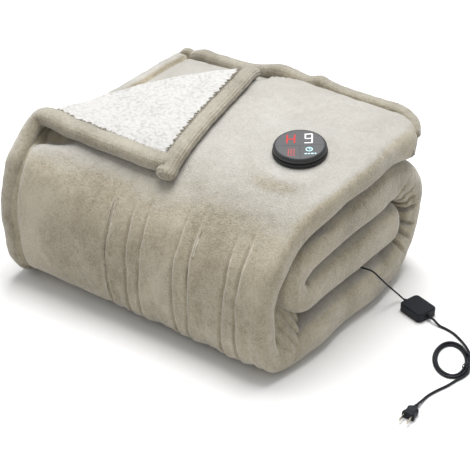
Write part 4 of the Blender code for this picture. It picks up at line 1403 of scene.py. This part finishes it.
@dataclass
class TurnedCorner:
    """The corner turned back over the top: its hems, its plush and the curly fleece that shows."""

    front_route: tuple = ((0.023, -0.166), (-0.077, -0.175), (-0.173, -0.175), (-0.268, -0.171))
    side_route: tuple = ((0.023, -0.166), (0.012, -0.056), (-0.003, 0.050), (-0.024, 0.158))
    front_length: float = 0.282
    side_length: float = 0.320
    hem_width: float = 29 * MM
    hem_tall: float = 17 * MM
    arch_place: tuple = (-0.245, -0.165)
    arch_height: float = 8 * MM
    arch_spread: float = 0.06
    recess: float = 16 * MM
    plush: float = 5 * MM
    fleece: float = 9 * MM
    crest_raise: float = 4 * MM
    crest_spread: float = 30 * MM
    crest_round: float = 14 * MM
    tuft: float = 6.2 * MM
    tuft_height: float = 1.7 * MM
    coarse: int = 56
    clearance: float = 0.4 * MM
    tuft_step: float = 1.15 * MM
    fleece_start: float = 24 * MM
    fleece_edge: float = 8 * MM
    loop_pitch: float = 4.6 * MM
    loop_length: float = 9.0 * MM
    loop_thick: float = 1.7 * MM
    loop_sink: float = 2.0 * MM
    loop_sides: int = 8
    loop_shares: tuple = (0.0, 0.25, 0.5, 0.75, 0.93)
    loop_root: float = 0.74
    front_tube: Tube = Tube(36 * MM, 29 * MM)
    side_tube: Tube = Tube(31 * MM, 20 * MM, cord_depth=0.9 * MM)
    back_tube: Tube = Tube(30 * MM, 26 * MM)
    left_hem: tuple = (2.6 * MM, 20 * MM)
    back_lift: float = 10.5 * MM
    turn_steps: tuple = ((-0.0135, -0.0015, -0.0015), (-0.0235, -0.0160, -0.0155))
    turn_ups: tuple = ((-0.25, 0.0, 0.95), (-0.62, -0.35, 0.70))
    web_from: float = -0.225
    web_until: float = 0.215
    web_inward: tuple = (0.046, 0.016, -0.024)
    web_sag: tuple = (0.0, -0.001, -0.006)
    spiral_depth: float = 2.6 * MM

    def plan(self, across: Array, back: Array) -> Array:
        """Plan points between the two hems and the crease.

        Args:
            across: Shares of the way from the side hem to the left end.
            back: Shares of the way from the front hem to the back.

        Returns:
            A grid of plan points.
        """
        left = CREASE_ROUTE[: CREASE_SPLIT + 1]
        rear = CREASE_ROUTE[CREASE_SPLIT:][::-1]

        def through(route: Array, share: Array) -> Array:
            """Plan points of a short route, by shares of the way."""
            return catmull_rom(route, share * (len(route) - 1))

        fronts, sides = np.array(self.front_route), np.array(self.side_route)
        front, side = through(fronts, across), through(sides, back)
        a, b = across[:, None, None], back[None, :, None]
        tip, end_left, end_rear = fronts[0], fronts[-1], sides[-1]
        edges = (1 - b) * front[:, None] + b * through(rear, across)[:, None]
        edges = edges + (1 - a) * side[None] + a * through(left, back)[None]
        return edges - ((1 - a) * (1 - b) * tip + a * (1 - b) * end_left + (1 - a) * b * end_rear
                        + a * b * CREASE_ROUTE[CREASE_SPLIT])

    def ground_grid(self, ground: Ground) -> Array:
        """Height of the cloth below on an even grid of shares."""
        shares = np.linspace(0, 1, self.coarse)
        return ground.under(self.plan(shares, shares)) + self.clearance

    def cloth_under(self, coarse: Array, across: Array, back: Array) -> Array:
        """Height of the cloth below, read from the even grid.

        Args:
            coarse: The even grid.
            across: Shares across.
            back: Shares back.

        Returns:
            A grid of heights.
        """
        last = self.coarse - 1
        i = np.minimum((across * last).astype(int), last - 1)
        j = np.minimum((back * last).astype(int), last - 1)
        u, v = (across * last - i)[:, None], (back * last - j)[None, :]
        a, b = coarse[i][:, j], coarse[i][:, j + 1]
        c, d = coarse[i + 1][:, j], coarse[i + 1][:, j + 1]
        return (1 - u) * (1 - v) * a + (1 - u) * v * b + u * (1 - v) * c + u * v * d

    def fields(self, coarse: Array, across: Array, back: Array) -> dict:
        """Everything that the pieces share on one grid.

        Args:
            coarse: Height of the cloth below.
            across: Shares across.
            back: Shares back.

        Returns:
            The plan, the cloth and sheet heights, and distances from the hemmed edges and the crease.
        """
        plan = self.plan(across, back)
        front, side = across[:, None] * self.front_length, back[None, :] * self.side_length
        edge = np.minimum(front, side)
        crease = np.minimum(self.front_length - front, self.side_length - side)
        cloth = self.cloth_under(coarse, across, back)
        away = np.hypot(plan[..., 0] - self.arch_place[0], plan[..., 1] - self.arch_place[1])
        arch = self.arch_height * np.exp(-((away / self.arch_spread) ** 2))
        sheet = cloth + arch * smoothstep(crease / self.recess)
        return {"plan": plan, "edge": edge, "crease": crease, "cloth": cloth, "sheet": sheet}

    def fleece_height(self, f: dict, inset: float) -> Array:
        """Height of the fleece's face before its tufts.

        Args:
            f: The shared fields.
            inset: Distance from the edges where the fleece starts.

        Returns:
            A grid of heights.
        """
        crest = self.crest_raise * bell(f["crease"], 0.0, self.crest_spread)
        full = f["sheet"] + self.plush + self.fleece + crest
        edge = round_off((f["edge"] - inset) / self.fleece_edge, 0.05)
        return f["cloth"] + (full - f["cloth"]) * edge * round_off(f["crease"] / self.crest_round)

    @staticmethod
    def shares(first: float, last: float, step: float, ends: int, width: float) -> Array:
        """Shares of the way to the crease, evenly at first and then closer together over it."""
        over = 1 - (1 - np.cos(np.linspace(0, np.pi / 2, ends))) * width
        return np.concatenate([np.arange(first, last, step), over[::-1]])

    def build_fleece(self, coarse: Array, finish: Material) -> Piece:
        """Makes the curly fleece.

        Args:
            coarse: Height of the cloth below.
            finish: Its material.

        Returns:
            The piece.
        """
        start = self.fleece_start
        across, back = (self.shares(start / length, 0.944, self.tuft_step / length, 12, 0.055)
                        for length in (self.front_length, self.side_length))
        f = self.fields(coarse, across, back)
        top = np.dstack([f["plan"], self.fleece_height(f, start)])
        normal = unit(np.cross(np.gradient(top, axis=0), np.gradient(top, axis=1)))
        normal *= np.sign(normal[..., 2:] + TINY)
        grow = f["plan"] + top[..., 2:] * 0.7
        warp = np.stack([lumps(top, 0.011, 5), lumps(top, 0.011, 6)], axis=-1) * 2.2 * MM
        pile = curls(grow + warp, self.tuft, 3) + 0.42 * curls(grow - warp, 0.52 * self.tuft, 8)
        pile = pile - 0.45 + 0.5 * lumps(top, 0.030, 9) + 0.18 * lumps(top, 0.0028, 10)
        fade = smoothstep((f["edge"] - start) / (4 * MM))
        top = top + normal * (self.tuft_height * pile * fade)[..., None]
        faces = grid_faces(*top.shape[:2])
        return add_mesh("curly_fleece", top.reshape(-1, 3), faces, finish)

    def build_plush(self, coarse: Array, finish: Material) -> Piece:
        """Makes the turned-back cloth's own plush, under the fleece and out into the hems.

        Args:
            coarse: Height of the cloth below.
            finish: Its material.

        Returns:
            The piece.
        """
        steps = ((0.035, 0.011), (0.030, 0.010))
        across, back = (self.shares(first, 0.938, step, 10, 0.06) for first, step in steps)
        f = self.fields(coarse, across, back)
        crest = round_off(f["crease"] / self.crest_round)
        band = f["edge"] < self.hem_width + 4 * MM
        high = np.where(band, f["sheet"] + 0.62 * self.hem_tall, f["sheet"] + self.plush)
        high = f["cloth"] + (high - f["cloth"]) * crest * np.where(band, 1.0, 0.8)
        low = np.minimum(f["sheet"] + 0.2 * MM, high - 0.2 * MM)
        top, bottom = np.dstack([f["plan"], high]), np.dstack([f["plan"], low])
        rows, columns = high.shape
        total = rows * columns
        faces = grid_faces(rows, columns).tolist() + grid_faces(rows, columns, total)[:, ::-1].tolist()
        number = np.arange(total).reshape(rows, columns)
        rim = np.concatenate([number[0], number[1:, -1], number[-1, -2::-1], number[-2:0:-1, 0]]).tolist()
        faces += [[a, total + a, total + b, b] for a, b in zip(rim, rim[1:] + rim[:1])]
        return add_mesh("turned_plush", np.vstack([top.reshape(-1, 3), bottom.reshape(-1, 3)]), faces, finish)

    def hem_path(self, coarse: Array, along_front: bool, shares: Array) -> Array:
        """The middle of a hem's tube.

        Args:
            coarse: Height of the cloth below.
            along_front: Whether this is the front hem or the side one.
            shares: Shares of the way from the tip.

        Returns:
            The route.
        """
        inset = np.array([0.5 * self.hem_width / (self.side_length if along_front else self.front_length)])
        f = self.fields(coarse, *((shares, inset) if along_front else (inset, shares)))
        plan, sheet = f["plan"].reshape(-1, 2), f["sheet"].ravel()
        even = np.convolve(np.pad(sheet, 2, "edge"), np.ones(5) / 5, "valid")
        return np.column_stack([plan, even + 0.5 * self.hem_tall])

    def hem_piece(self, name: str, tube: Tube, places: tuple, shape: tuple, finish: Material) -> Piece:
        """Makes one hem from its section, route and shares of its full size."""
        points, faces = tube.sweep(*places, *shape)
        return add_mesh(name, points, faces, finish)

    @staticmethod
    def resampled(path: Array, ups: Array, spacing: float) -> tuple:
        """Evenly spaced points of a route, the way up at each, and shares of the way."""
        both = evenly(np.hstack([path, ups * 0.02]), spacing)
        return both[:, :3], both[:, 3:], np.linspace(0, 1, len(both))

    def build_hems(self, coarse: Array, cloth: Cloth, finishes: Finishes) -> list:
        """Makes the front hem, which comes up from the left end, the side hem and the back hem.

        Args:
            coarse: Height of the cloth below.
            cloth: The skin that they lie on.
            finishes: The finishes.

        Returns:
            The pieces, with the loops that bind the first two to the fleece.
        """
        front = self.hem_path(coarse, True, np.linspace(0.085, 0.93, 90))
        front[:, 2] += 1.0 * MM
        left, outward = cloth.left_hem(*self.left_hem)
        spaced = front[::6]
        controls = np.vstack([spaced, front[-1] + np.array(self.turn_steps), left])
        ups = np.vstack([np.repeat(UP[None], len(spaced), axis=0), self.turn_ups, outward])
        route, ups, share = self.resampled(controls, ups, 3.2 * MM)
        size = 1.0 - 0.30 * smoothstep((share - 0.42) / 0.25) - 0.45 * smoothstep((share - 0.95) / 0.05)
        first = self.hem_piece("front_hem", self.front_tube, (route, ups), (size, 21), finishes.hem)
        web = self.build_web(route, finishes.hem)
        side = self.hem_path(coarse, False, np.linspace(-0.012, 0.985, 105))
        from_tip = np.arange(len(side))
        side[:, 2] += 1.5 * MM + 1.6 * MM * bell(from_tip, 0.0, 9.0)
        size = 1.0 + 0.05 * bell(from_tip, 0.0, 5.0)
        points, faces = self.side_tube.sweep(side, np.repeat(UP[None], len(side), axis=0), size, 31)
        second = add_mesh("side_hem", self.curl_end(points, side), faces, finishes.hem)
        fringe = self.fringe(front, 18 * MM, 9.5 * MM, 1.0) + self.fringe(side[6:], 15.5 * MM, 6.4 * MM, -1.0)
        edge = self.build_fringe(fringe, finishes.loops)
        route, ups, share = self.resampled(*cloth.back_hem(self.back_lift, self.back_tube.tall), 3.4 * MM)
        size = 1.0 - 0.40 * smoothstep((share - 0.86) / 0.14) - 0.45 * smoothstep((0.09 - share) / 0.09)
        third = self.hem_piece("back_hem", self.back_tube, (route, ups), (size, 41), finishes.hem)
        return [first, web, second, edge, third]

    def fringe(self, route: Array, half: float, high: float, way: float) -> list:
        """Places of the plush loops that bind a hem to the fleece.

        Args:
            route: Middle of the hem.
            half: Half the hem's width.
            high: How far the loops start over the hem's middle.
            way: 1 where the fleece lies to the left of the route, -1 where it lies to the right.

        Returns:
            Pairs of a loop's root and its way out.
        """
        even = evenly(route, self.loop_pitch)
        found = []
        for k in range(1, len(even) - 1):
            along = unit(even[k + 1] - even[k - 1])
            out = way * np.array([along[1], -along[0], 0.0])
            lean = out + along * 0.35 * math.sin(2.4 * k) + UP * 0.10 * math.sin(1.7 * k)
            found.append((even[k] + out * half * self.loop_root + UP * high, lean))
        return found

    def build_fringe(self, places: list, finish: Material) -> Piece:
        """Makes the loops along the fleece's hemmed edges.

        Args:
            places: Pairs of a loop's root and its way out.
            finish: Its material.

        Returns:
            The piece.
        """
        points, faces = [], []
        turns = np.linspace(0, 2 * np.pi, self.loop_sides, endpoint=False)[:, None]
        rings = len(self.loop_shares)
        for k, (root, out) in enumerate(places):
            out = unit(out)
            side = np.cross(out, UP)
            circle = np.cos(turns) * side + np.sin(turns) * np.cross(side, out)
            long = self.loop_length * (1.0 + 0.25 * math.sin(5.1 * k))
            for share in self.loop_shares:
                middle = root + out * long * share - UP * self.loop_sink * share**2
                points.append(middle + self.loop_thick * math.sqrt(1.0 - share**2) * circle)
            start, end = (rings * self.loop_sides * number for number in (k, k + 1))
            faces += grid_faces(rings, self.loop_sides, start, True).tolist()
            faces.append(list(range(end - self.loop_sides, end)))
        return add_mesh("hem_loops", np.concatenate(points), faces, finish)

    def build_web(self, route: Array, finish: Material) -> Piece:
        """Makes the cloth that turns down inside the hem at the end of the crease.

        Args:
            route: Middle of the front hem.
            finish: Its material.

        Returns:
            The piece.
        """
        first = int(np.argmax(route[:, 0] < self.web_from))
        last = int(np.argmax((route[:, 2] < self.web_until) & (np.arange(len(route)) > first)))
        share = np.linspace(0, 1, 9)[None, :, None]
        grid = route[first:last, None] + np.array(self.web_inward) * share
        grid = grid + np.array(self.web_sag) * np.sin(np.pi * share)
        grid = grid + UP * (lumps(grid, 0.018, 51) * 1.2 * MM)[..., None]
        return add_mesh("crease_web", grid.reshape(-1, 3), grid_faces(*grid.shape[:2]), finish)

    def curl_end(self, points: Array, route: Array) -> Array:
        """Opens the roll at the side hem's end, as a spiral groove.

        Args:
            points: The tube's points.
            route: Its middle.

        Returns:
            The moved points.
        """
        ahead = unit(route[0] - route[4])
        side = np.cross(ahead, UP)
        away = points - route[0]
        forward = away @ ahead
        u, v = away @ side / (0.5 * self.hem_width), away[:, 2] / (0.5 * self.hem_tall)
        radius, angle = np.hypot(u, v), np.arctan2(v, u)
        spiral = (radius * 1.6 - angle / (2 * np.pi)) % 1.0
        depth = self.spiral_depth * bell(spiral, 0.5, 0.13) * smoothstep((forward - 1 * MM) / (3 * MM))
        return points - ahead * depth[:, None]

    def build(self, finishes: Finishes, cloth: Cloth) -> list:
        """Makes every piece of the corner.

        Args:
            finishes: The finishes.
            cloth: The skin that it lies on.

        Returns:
            The pieces.
        """
        coarse = self.ground_grid(Ground(cloth.outer))
        fleece = self.build_fleece(coarse, finishes.fleece)
        plush = self.build_plush(coarse, finishes.hem)
        hems = self.build_hems(coarse, cloth, finishes)
        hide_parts("fleece_corner")
        for piece in [plush, *hems]:
            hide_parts("plush_roll" if piece.name == "back_hem" else "plush_corner")
        for piece in [fleece, plush, *hems]:
            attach(piece, "root")
        return [fleece, plush, *hems]


# ---------------------------------------------------------------- controller


@dataclass
class Controller:
    """The round controller: foot, case, dark face and its lit marks.

    Profiles hold radii and heights, and the foot's and the case's radii are counted from the
    controller's own. Bars hold two ends and a width. All of them are in millimetres.
    """

    seat: Seat = Seat()
    facing: float = math.radians(36.0)
    radius: float = 44.0
    steps: int = 96
    level: float = 16.9
    sunk: float = 0.3
    foot: tuple = ((-4.0, 0.0), (-1.6, 0.35), (-0.5, 1.2), (0.0, 2.6), (0.0, 5.4), (-0.3, 6.3),
                   (-1.1, 7.2), (-3.0, 7.4))
    case: tuple = ((-4.5, 7.5), (-2.2, 7.9), (-1.5, 8.8), (-1.2, 11.0), (-1.25, 12.6), (-1.9, 14.0),
                   (-3.1, 15.6), (-4.0, 16.6), (-4.4, 16.8), (-4.75, 16.7), (-4.9, 15.4))
    dial: tuple = ((38.6, 14.9), (38.95, 16.2), (38.7, 16.65), (38.2, 16.85), (30.0, 16.9), (12.0, 16.9),
                   (2.0, 16.9))
    letter: tuple = (((-20.2, 3.5), (-18.6, 26.0), 2.6), ((-8.6, 3.5), (-7.0, 26.0), 2.6),
                     ((-18.0, 14.4), (-9.0, 14.4), 2.6))
    digit: tuple = (((8.4, 26.2), (21.0, 26.2), 2.0), ((8.4, 14.4), (21.0, 14.4), 2.0),
                    ((7.2, 2.8), (20.0, 2.8), 2.0), ((9.2, 15.4), (9.9, 25.4), 2.0),
                    ((19.3, 2.5), (20.6, 25.4), 2.0))
    lines: tuple = (((-36.5, -3.0), (36.5, -3.0), 0.9), ((-0.6, -3.4), (-0.6, -37.6), 0.9))
    heat: tuple = (((-19.0, -26.5), (-18.1, -11.0), 2.0), ((-14.8, -26.5), (-13.9, -11.0), 2.0),
                   ((-10.6, -26.5), (-9.7, -11.0), 2.0), ((-21.0, -29.0), (-8.4, -29.0), 1.8))
    clock: tuple = ((14.0, -14.5), 5.6, 1.5)
    clock_bars: tuple = (((14.0, -14.5), (14.0, -11.0), 1.1), ((14.0, -14.5), (16.8, -14.5), 1.1),
                         ((6.2, -26.0), (10.4, -26.0), 2.6), ((11.6, -26.0), (14.8, -26.0), 2.6),
                         ((16.0, -26.0), (20.6, -26.0), 2.6), ((21.8, -26.0), (24.6, -26.0), 2.6))

    def lathe(self, name: str, profile: tuple, finish: Material, more: float = 0.0) -> Piece:
        """Makes a round piece from radii, each with something added, and heights."""
        rows = [(more + r, z) for r, z in profile]
        return add_mesh(name, *revolve(rows, np.array(self.seat.placement()), self.steps), finish, 40.0)

    def marks(self, name: str, outlines: list, finish: Material, high: float) -> Piece:
        """Makes flat marks that stand a hair proud of the face.

        Args:
            name: Name of the piece.
            outlines: Their outlines in plan.
            finish: Their material.
            high: How proud they stand.

        Returns:
            The piece.
        """
        place = np.array(self.seat.placement() @ Matrix.Rotation(self.facing, 4, "Z"))
        points, faces = [], []
        for outline in outlines:
            start, count = len(points), len(outline)
            points += [(x, y, z) for z in (self.level - self.sunk, self.level + high) for x, y in outline]
            faces.append([start + count + k for k in range(count)])
            faces += [[start + k, start + (k + 1) % count, start + count + (k + 1) % count, start + count + k]
                      for k in range(count)]
        moved = np.array(points) * MM @ place[:3, :3].T + place[:3, 3]
        return add_mesh(name, moved, faces, finish, 30.0)

    @staticmethod
    def bar(start: tuple, end: tuple, width: float) -> list:
        """Outline of a straight segment with cut corners.

        Args:
            start: One end of its middle line.
            end: The other end.
            width: Its width.

        Returns:
            Eight outline points.
        """
        a, b = np.array(start, float), np.array(end, float)
        along = (b - a) / np.linalg.norm(b - a)
        side = np.array([-along[1], along[0]])
        half, cut = width / 2, width * 0.22
        corners = [a + side * (half - cut), a + along * cut + side * half, b - along * cut + side * half,
                   b + side * (half - cut), b - side * (half - cut), b - along * cut - side * half,
                   a + along * cut - side * half, a - side * (half - cut)]
        return [tuple(p) for p in corners[::-1]]

    @staticmethod
    def ring(centre: tuple, radius: float, width: float) -> list:
        """Outlines of a ring, as short pieces.

        Args:
            centre: Its middle.
            radius: Its radius.
            width: Its width.

        Returns:
            Quad outlines.
        """
        angles = np.radians(np.linspace(0, 360, 25))
        return [[(centre[0] + r * math.cos(t), centre[1] + r * math.sin(t))
                 for r, t in ((radius - width, a), (radius, a), (radius, b), (radius - width, b))]
                for a, b in zip(angles[:-1], angles[1:])]

    def build(self, finishes: Finishes) -> list:
        """Makes every piece of the controller.

        Args:
            finishes: The finishes.

        Returns:
            The pieces.
        """
        foot = self.lathe("controller_foot_ring", self.foot, finishes.foot, self.radius)
        case = self.lathe("controller_case_ring", self.case, finishes.case, self.radius)
        face = self.lathe("controller_dial", self.dial, finishes.face)
        letter, digit, lines, heat, hands = ([self.bar(*bar) for bar in bars] for bars in (
            self.letter, self.digit, self.lines, self.heat, self.clock_bars))
        shown = [self.marks(*mark) for mark in (
            ("dial_letter", letter, finishes.red, 0.14), ("dial_digit", digit, finishes.white, 0.14),
            ("dial_lines", lines, finishes.groove, 0.06), ("dial_heat", heat, finishes.dim_red, 0.08),
            ("dial_clock", self.ring(*self.clock) + hands, finishes.cyan, 0.10))]
        for piece, node in ((foot, "controller_foot"), (case, "controller_case"), (face, "controller_face")):
            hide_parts(node)
        for piece in (foot, case, face, *shown):
            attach(piece, "root")
        return [foot, case, face, *shown]


# ---------------------------------------------------------------- cord


class Side(Enum):
    """Which end of the power box."""

    IN = -1
    OUT = 1


@dataclass
class CordSet:
    """The low-voltage lead, the power box, the coiled mains cord and its plug."""

    lead_diameter: float = 3.0 * MM
    mains_diameter: float = 4.2 * MM
    box_place: tuple = (*BOX_MIDDLE, 0.0)
    box_angle: float = math.radians(-17.0)
    box_length: float = 50 * MM
    relief_length: float = 7 * MM
    relief_height: float = 8.5 * MM
    straight: float = 5 * MM
    spacing: float = 5 * MM
    cord_sides: int = 4
    relief_steps: int = 32
    relief_ribs: int = 3
    rib: tuple = ((0.7, 0.0), (0.7, 0.5), (0.0, 0.8), (0.1, 1.7))
    on_floor: float = 2.4 * MM
    lead_route: tuple = (
        (0.252, 0.0260, 0.0825), (0.268, 0.0265, 0.0833), (0.281, 0.0290, 0.0815), (0.2925, 0.0370, 0.0670),
        (0.2985, 0.0530, 0.0465), (0.3035, 0.0690, 0.0275), (0.3080, 0.0805, 0.0135))
    mains_route: tuple = ((0.3980, 0.0580, 0.0030), (0.4100, 0.0575, 0.0024), (0.4260, 0.0540, 0.0024),
                          (0.4430, 0.0455, 0.0024))
    coil_centre: tuple = (0.4565, -0.0105)
    coil_angle: float = math.radians(-62.6)
    coil_long: float = 46 * MM
    coil_wide: float = 30.5 * MM
    coil_first: int = 103
    coil_last: int = 52
    coil_step: int = 15
    coming_in: tuple = ((142, 5.4), (122, 2.6))
    going_out: tuple = ((50, 0.0), (32, 0.4), (12, 3.2))
    beds: tuple = ((2.4, 2.4), (-2.3, 2.3), (-6.8, 2.4), (-4.5, 6.1))
    moves: tuple = ((103, 62), (40, -60), (30, -70))
    comes_down: tuple = (92, 50)
    strand_gap: float = 0.3
    over_gap: float = 4.35 * MM
    over_angle: float = 122.0
    tie_turn: float = 64.5
    tie_half: float = 26.0
    tail_route: tuple = ((0.4822, -0.0700, 0.0024), (0.4740, -0.0920, 0.0024), (0.4690, -0.1100, 0.0024),
                         (0.4680, -0.1250, 0.0034))
    plug_place: tuple = (0.4685, -0.1443, 0.0067)
    plug_angle: float = math.radians(-88.0)

    def box_frame(self, along: float = 0.0) -> Matrix:
        """The power box's frame, moved along its length."""
        turn = Matrix.Rotation(self.box_angle, 4, "Z")
        return Matrix.Translation(self.box_place) @ turn @ Matrix.Translation((along, 0.0, 0.0))

    def relief_route(self, side: Side) -> list:
        """The straight run of a cord out of a strain relief, outwards.

        Args:
            side: Which relief.

        Returns:
            Its two ends.
        """
        start = self.box_length / 2 + self.relief_length + 0.9 * MM
        return [tuple(self.box_frame(side.value * (start + out)) @ Vector((0.0, 0.0, self.relief_height)))
                for out in (0.0, self.straight)]

    def coil_point(self, turn: float, outwards: float, up: float) -> tuple:
        """A point round the coil.

        Args:
            turn: Degrees round it.
            outwards: Distance out from its outer edge.
            up: Height.

        Returns:
            The point.
        """
        long_way = np.array([math.cos(self.coil_angle), math.sin(self.coil_angle)])
        wide_way = np.array([-long_way[1], long_way[0]])
        angle = math.radians(turn)
        place = np.array(self.coil_centre) + self.coil_long * math.cos(angle) * long_way
        place = place + self.coil_wide * math.sin(angle) * wide_way
        normal = math.cos(angle) / self.coil_long * long_way + math.sin(angle) / self.coil_wide * wide_way
        place = place + normal / np.linalg.norm(normal) * outwards
        return (place[0], place[1], up)

    def strand(self, turn: float, first: tuple, second: tuple, start: float, end: float) -> tuple:
        """A strand's place across the coil while it moves from one bed to the next.

        Args:
            turn: Degrees round the coil.
            first: Outwards and up, in millimetres, before.
            second: The same after.
            start: Where the move begins.
            end: Where it ends; the cord runs towards smaller degrees.

        Returns:
            Outwards and up in metres.
        """
        share = float(smoothstep(np.array((start - turn) / (start - end))))
        out, up = (a + (b - a) * share for a, b in zip(first, second))
        lift = float(bell((turn + 180) % 360 - 180, self.tie_turn, self.tie_half))
        inside = min(1.0, max(0.0, (2.3 - out) / 2.5))  # only the inner strands ride up over the tie
        return out * MM, (up + lift * inside) * MM

    def coil_route(self) -> list:
        """The cord round the coil, from where it comes in to where it leaves.

        Returns:
            Its points.
        """
        route = [self.coil_point(turn, out * MM, self.on_floor) for turn, out in self.coming_in]
        first = self.coil_first
        for turn in range(first, self.coil_last - len(self.moves) * 360, -self.coil_step):
            lap, here = divmod(first - turn, 360)
            seen = first - here
            if lap == len(self.moves):
                out, up = self.leaving(seen)
            elif lap >= 1 and seen > self.moves[1][0]:
                out, up = self.strand(seen, self.beds[lap], self.beds[lap], *self.moves[1])
            else:
                out, up = self.strand(seen, self.beds[lap], self.beds[lap + 1], *self.moves[lap])
            route.append(self.coil_point(turn, out, up))
        for turn, more in self.going_out:
            out = self.mains_diameter / 2 + (self.strand_gap + more) * MM
            route.append(self.coil_point(turn, out, self.on_floor))
        return route

    def leaving(self, turn: float) -> tuple:
        """The last strand's place as it comes down over the first.

        Args:
            turn: Degrees round the coil.

        Returns:
            Outwards and up in metres.
        """
        under_out, under_up = self.strand(turn, self.beds[0], self.beds[1], *self.moves[0])
        start, end = self.comes_down
        share = float(smoothstep(np.array((start - turn) / (start - end))))
        angle = math.radians(self.over_angle * (1 - share))
        return under_out + self.over_gap * math.cos(angle), under_up + self.over_gap * math.sin(angle)

    def plug_frame(self) -> Matrix:
        """The plug's frame: its Z runs from its neck to its blades."""
        turn = Matrix.Rotation(self.plug_angle, 4, "Z") @ Matrix.Rotation(math.pi / 2, 4, "Y")
        return Matrix.Translation(self.plug_place) @ turn

    def cord(self, name: str, route: list, diameter: float, finish: Material) -> tuple:
        """Makes a cord along a route.

        Args:
            name: Its name.
            route: Points in the plan of the part's source.
            diameter: Its diameter.
            finish: Its material.

        Returns:
            The piece, its first point in the frame and its length.
        """
        points = evenly(np.array(route, float), self.spacing) + np.array(PLAN_SHIFT)
        curve = bpy.data.curves.new(name, "CURVE")
        curve.dimensions = "3D"
        curve.bevel_depth = diameter / 2
        curve.bevel_resolution = self.cord_sides
        curve.use_fill_caps = True
        spline = curve.splines.new("POLY")
        spline.points.add(len(points) - 1)
        for point, place in zip(spline.points, points):
            point.co = (*place, 1.0)
        spline.use_smooth = True
        curve.materials.append(finish)
        obj = bpy.data.objects.new(name, curve)
        bpy.context.collection.objects.link(obj)
        return obj, tuple(points[0]), float(length_along(points)[-1])

    def relief(self, name: str, side: Side, finish: Material) -> Piece:
        """Makes a ribbed strain relief.

        Args:
            name: Its name.
            side: The end of the box that it is on.
            finish: Its material.

        Returns:
            The piece.
        """
        place = self.box_frame(side.value * (self.box_length / 2 + 0.2 * MM))
        place = place @ Matrix.Translation((0.0, 0.0, self.relief_height))
        place = place @ Matrix.Rotation(side.value * math.pi / 2, 4, "Y")
        profile = [(3.6, -0.6), (3.6, 0.6)]
        for k in range(self.relief_ribs):
            base, wide = 0.8 + 2.0 * k, 3.5 - 0.45 * k
            profile += [(wide - less, base + up) for less, up in self.rib]
        profile += [(2.35, 6.9), (2.1, 7.2)]
        points, faces = revolve(profile, np.array(place), self.relief_steps)
        return add_mesh(name, points, faces, finish, 50.0)

    def build(self, finishes: Finishes) -> list:
        """Makes the cords and dresses the hard pieces on them.

        Args:
            finishes: The finishes.

        Returns:
            The new pieces.
        """
        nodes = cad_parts
        rubber = finishes.cord
        route = list(self.lead_route) + self.relief_route(Side.IN)[::-1]
        lead, lead_exit, lead_length = self.cord("low_voltage_lead", route, self.lead_diameter, rubber)
        plug = self.plug_frame()
        plug_end = [tuple(plug @ Vector((0.0, 0.0, -back))) for back in (self.straight, 0.2 * MM)]
        route = self.relief_route(Side.OUT) + list(self.mains_route) + self.coil_route()
        route += list(self.tail_route) + plug_end
        mains, mains_exit, mains_length = self.cord("mains_cord", route, self.mains_diameter, rubber)
        sides = (("box_relief_in", Side.IN), ("box_relief_out", Side.OUT))
        reliefs = [self.relief(*side, rubber) for side in sides]
        for piece, names in ((lead, ("cord_lead",)), (mains, ("cord_mains", "cord_coil", "cord_tail")),
                             (reliefs[0], ("relief_in",)), (reliefs[1], ("relief_out",))):
            for name in names:
                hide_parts(name)
            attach(piece, "root")
        plug_nodes = [nodes[name] for name in ("plug_body", "plug_blade_a", "plug_blade_b")]
        plain = [nodes["power_box"], nodes["coil_tie"], *plug_nodes]
        for piece, finish in zip(plain, (finishes.box, rubber, finishes.box, finishes.metal, finishes.metal)):
            piece.material_slots[0].material = finish
        LOG.info("lead %.3f m, mains %.3f m", lead_length, mains_length)
        return [lead, mains, *reliefs]


def main() -> None:
    """Builds the whole object and reports each piece."""
    logging.basicConfig(level=logging.INFO, format="%(name)s: %(message)s")
    studio = Studio()
    studio.camera()
    studio.light()
    studio.floor()
    finishes = Finishes.make()
    pieces = CordSet().build(finishes)
    *folded, cloth = RolledPlush().build(finishes)
    pieces += folded
    pieces += TurnedCorner().build(finishes, cloth)
    pieces += Controller().build(finishes)
    for piece in pieces:
        count = len(piece.data.polygons) if piece.type == "MESH" else 0
        LOG.info("%s: %d faces", piece.name, count)


if __name__ == "__main__":
    main()
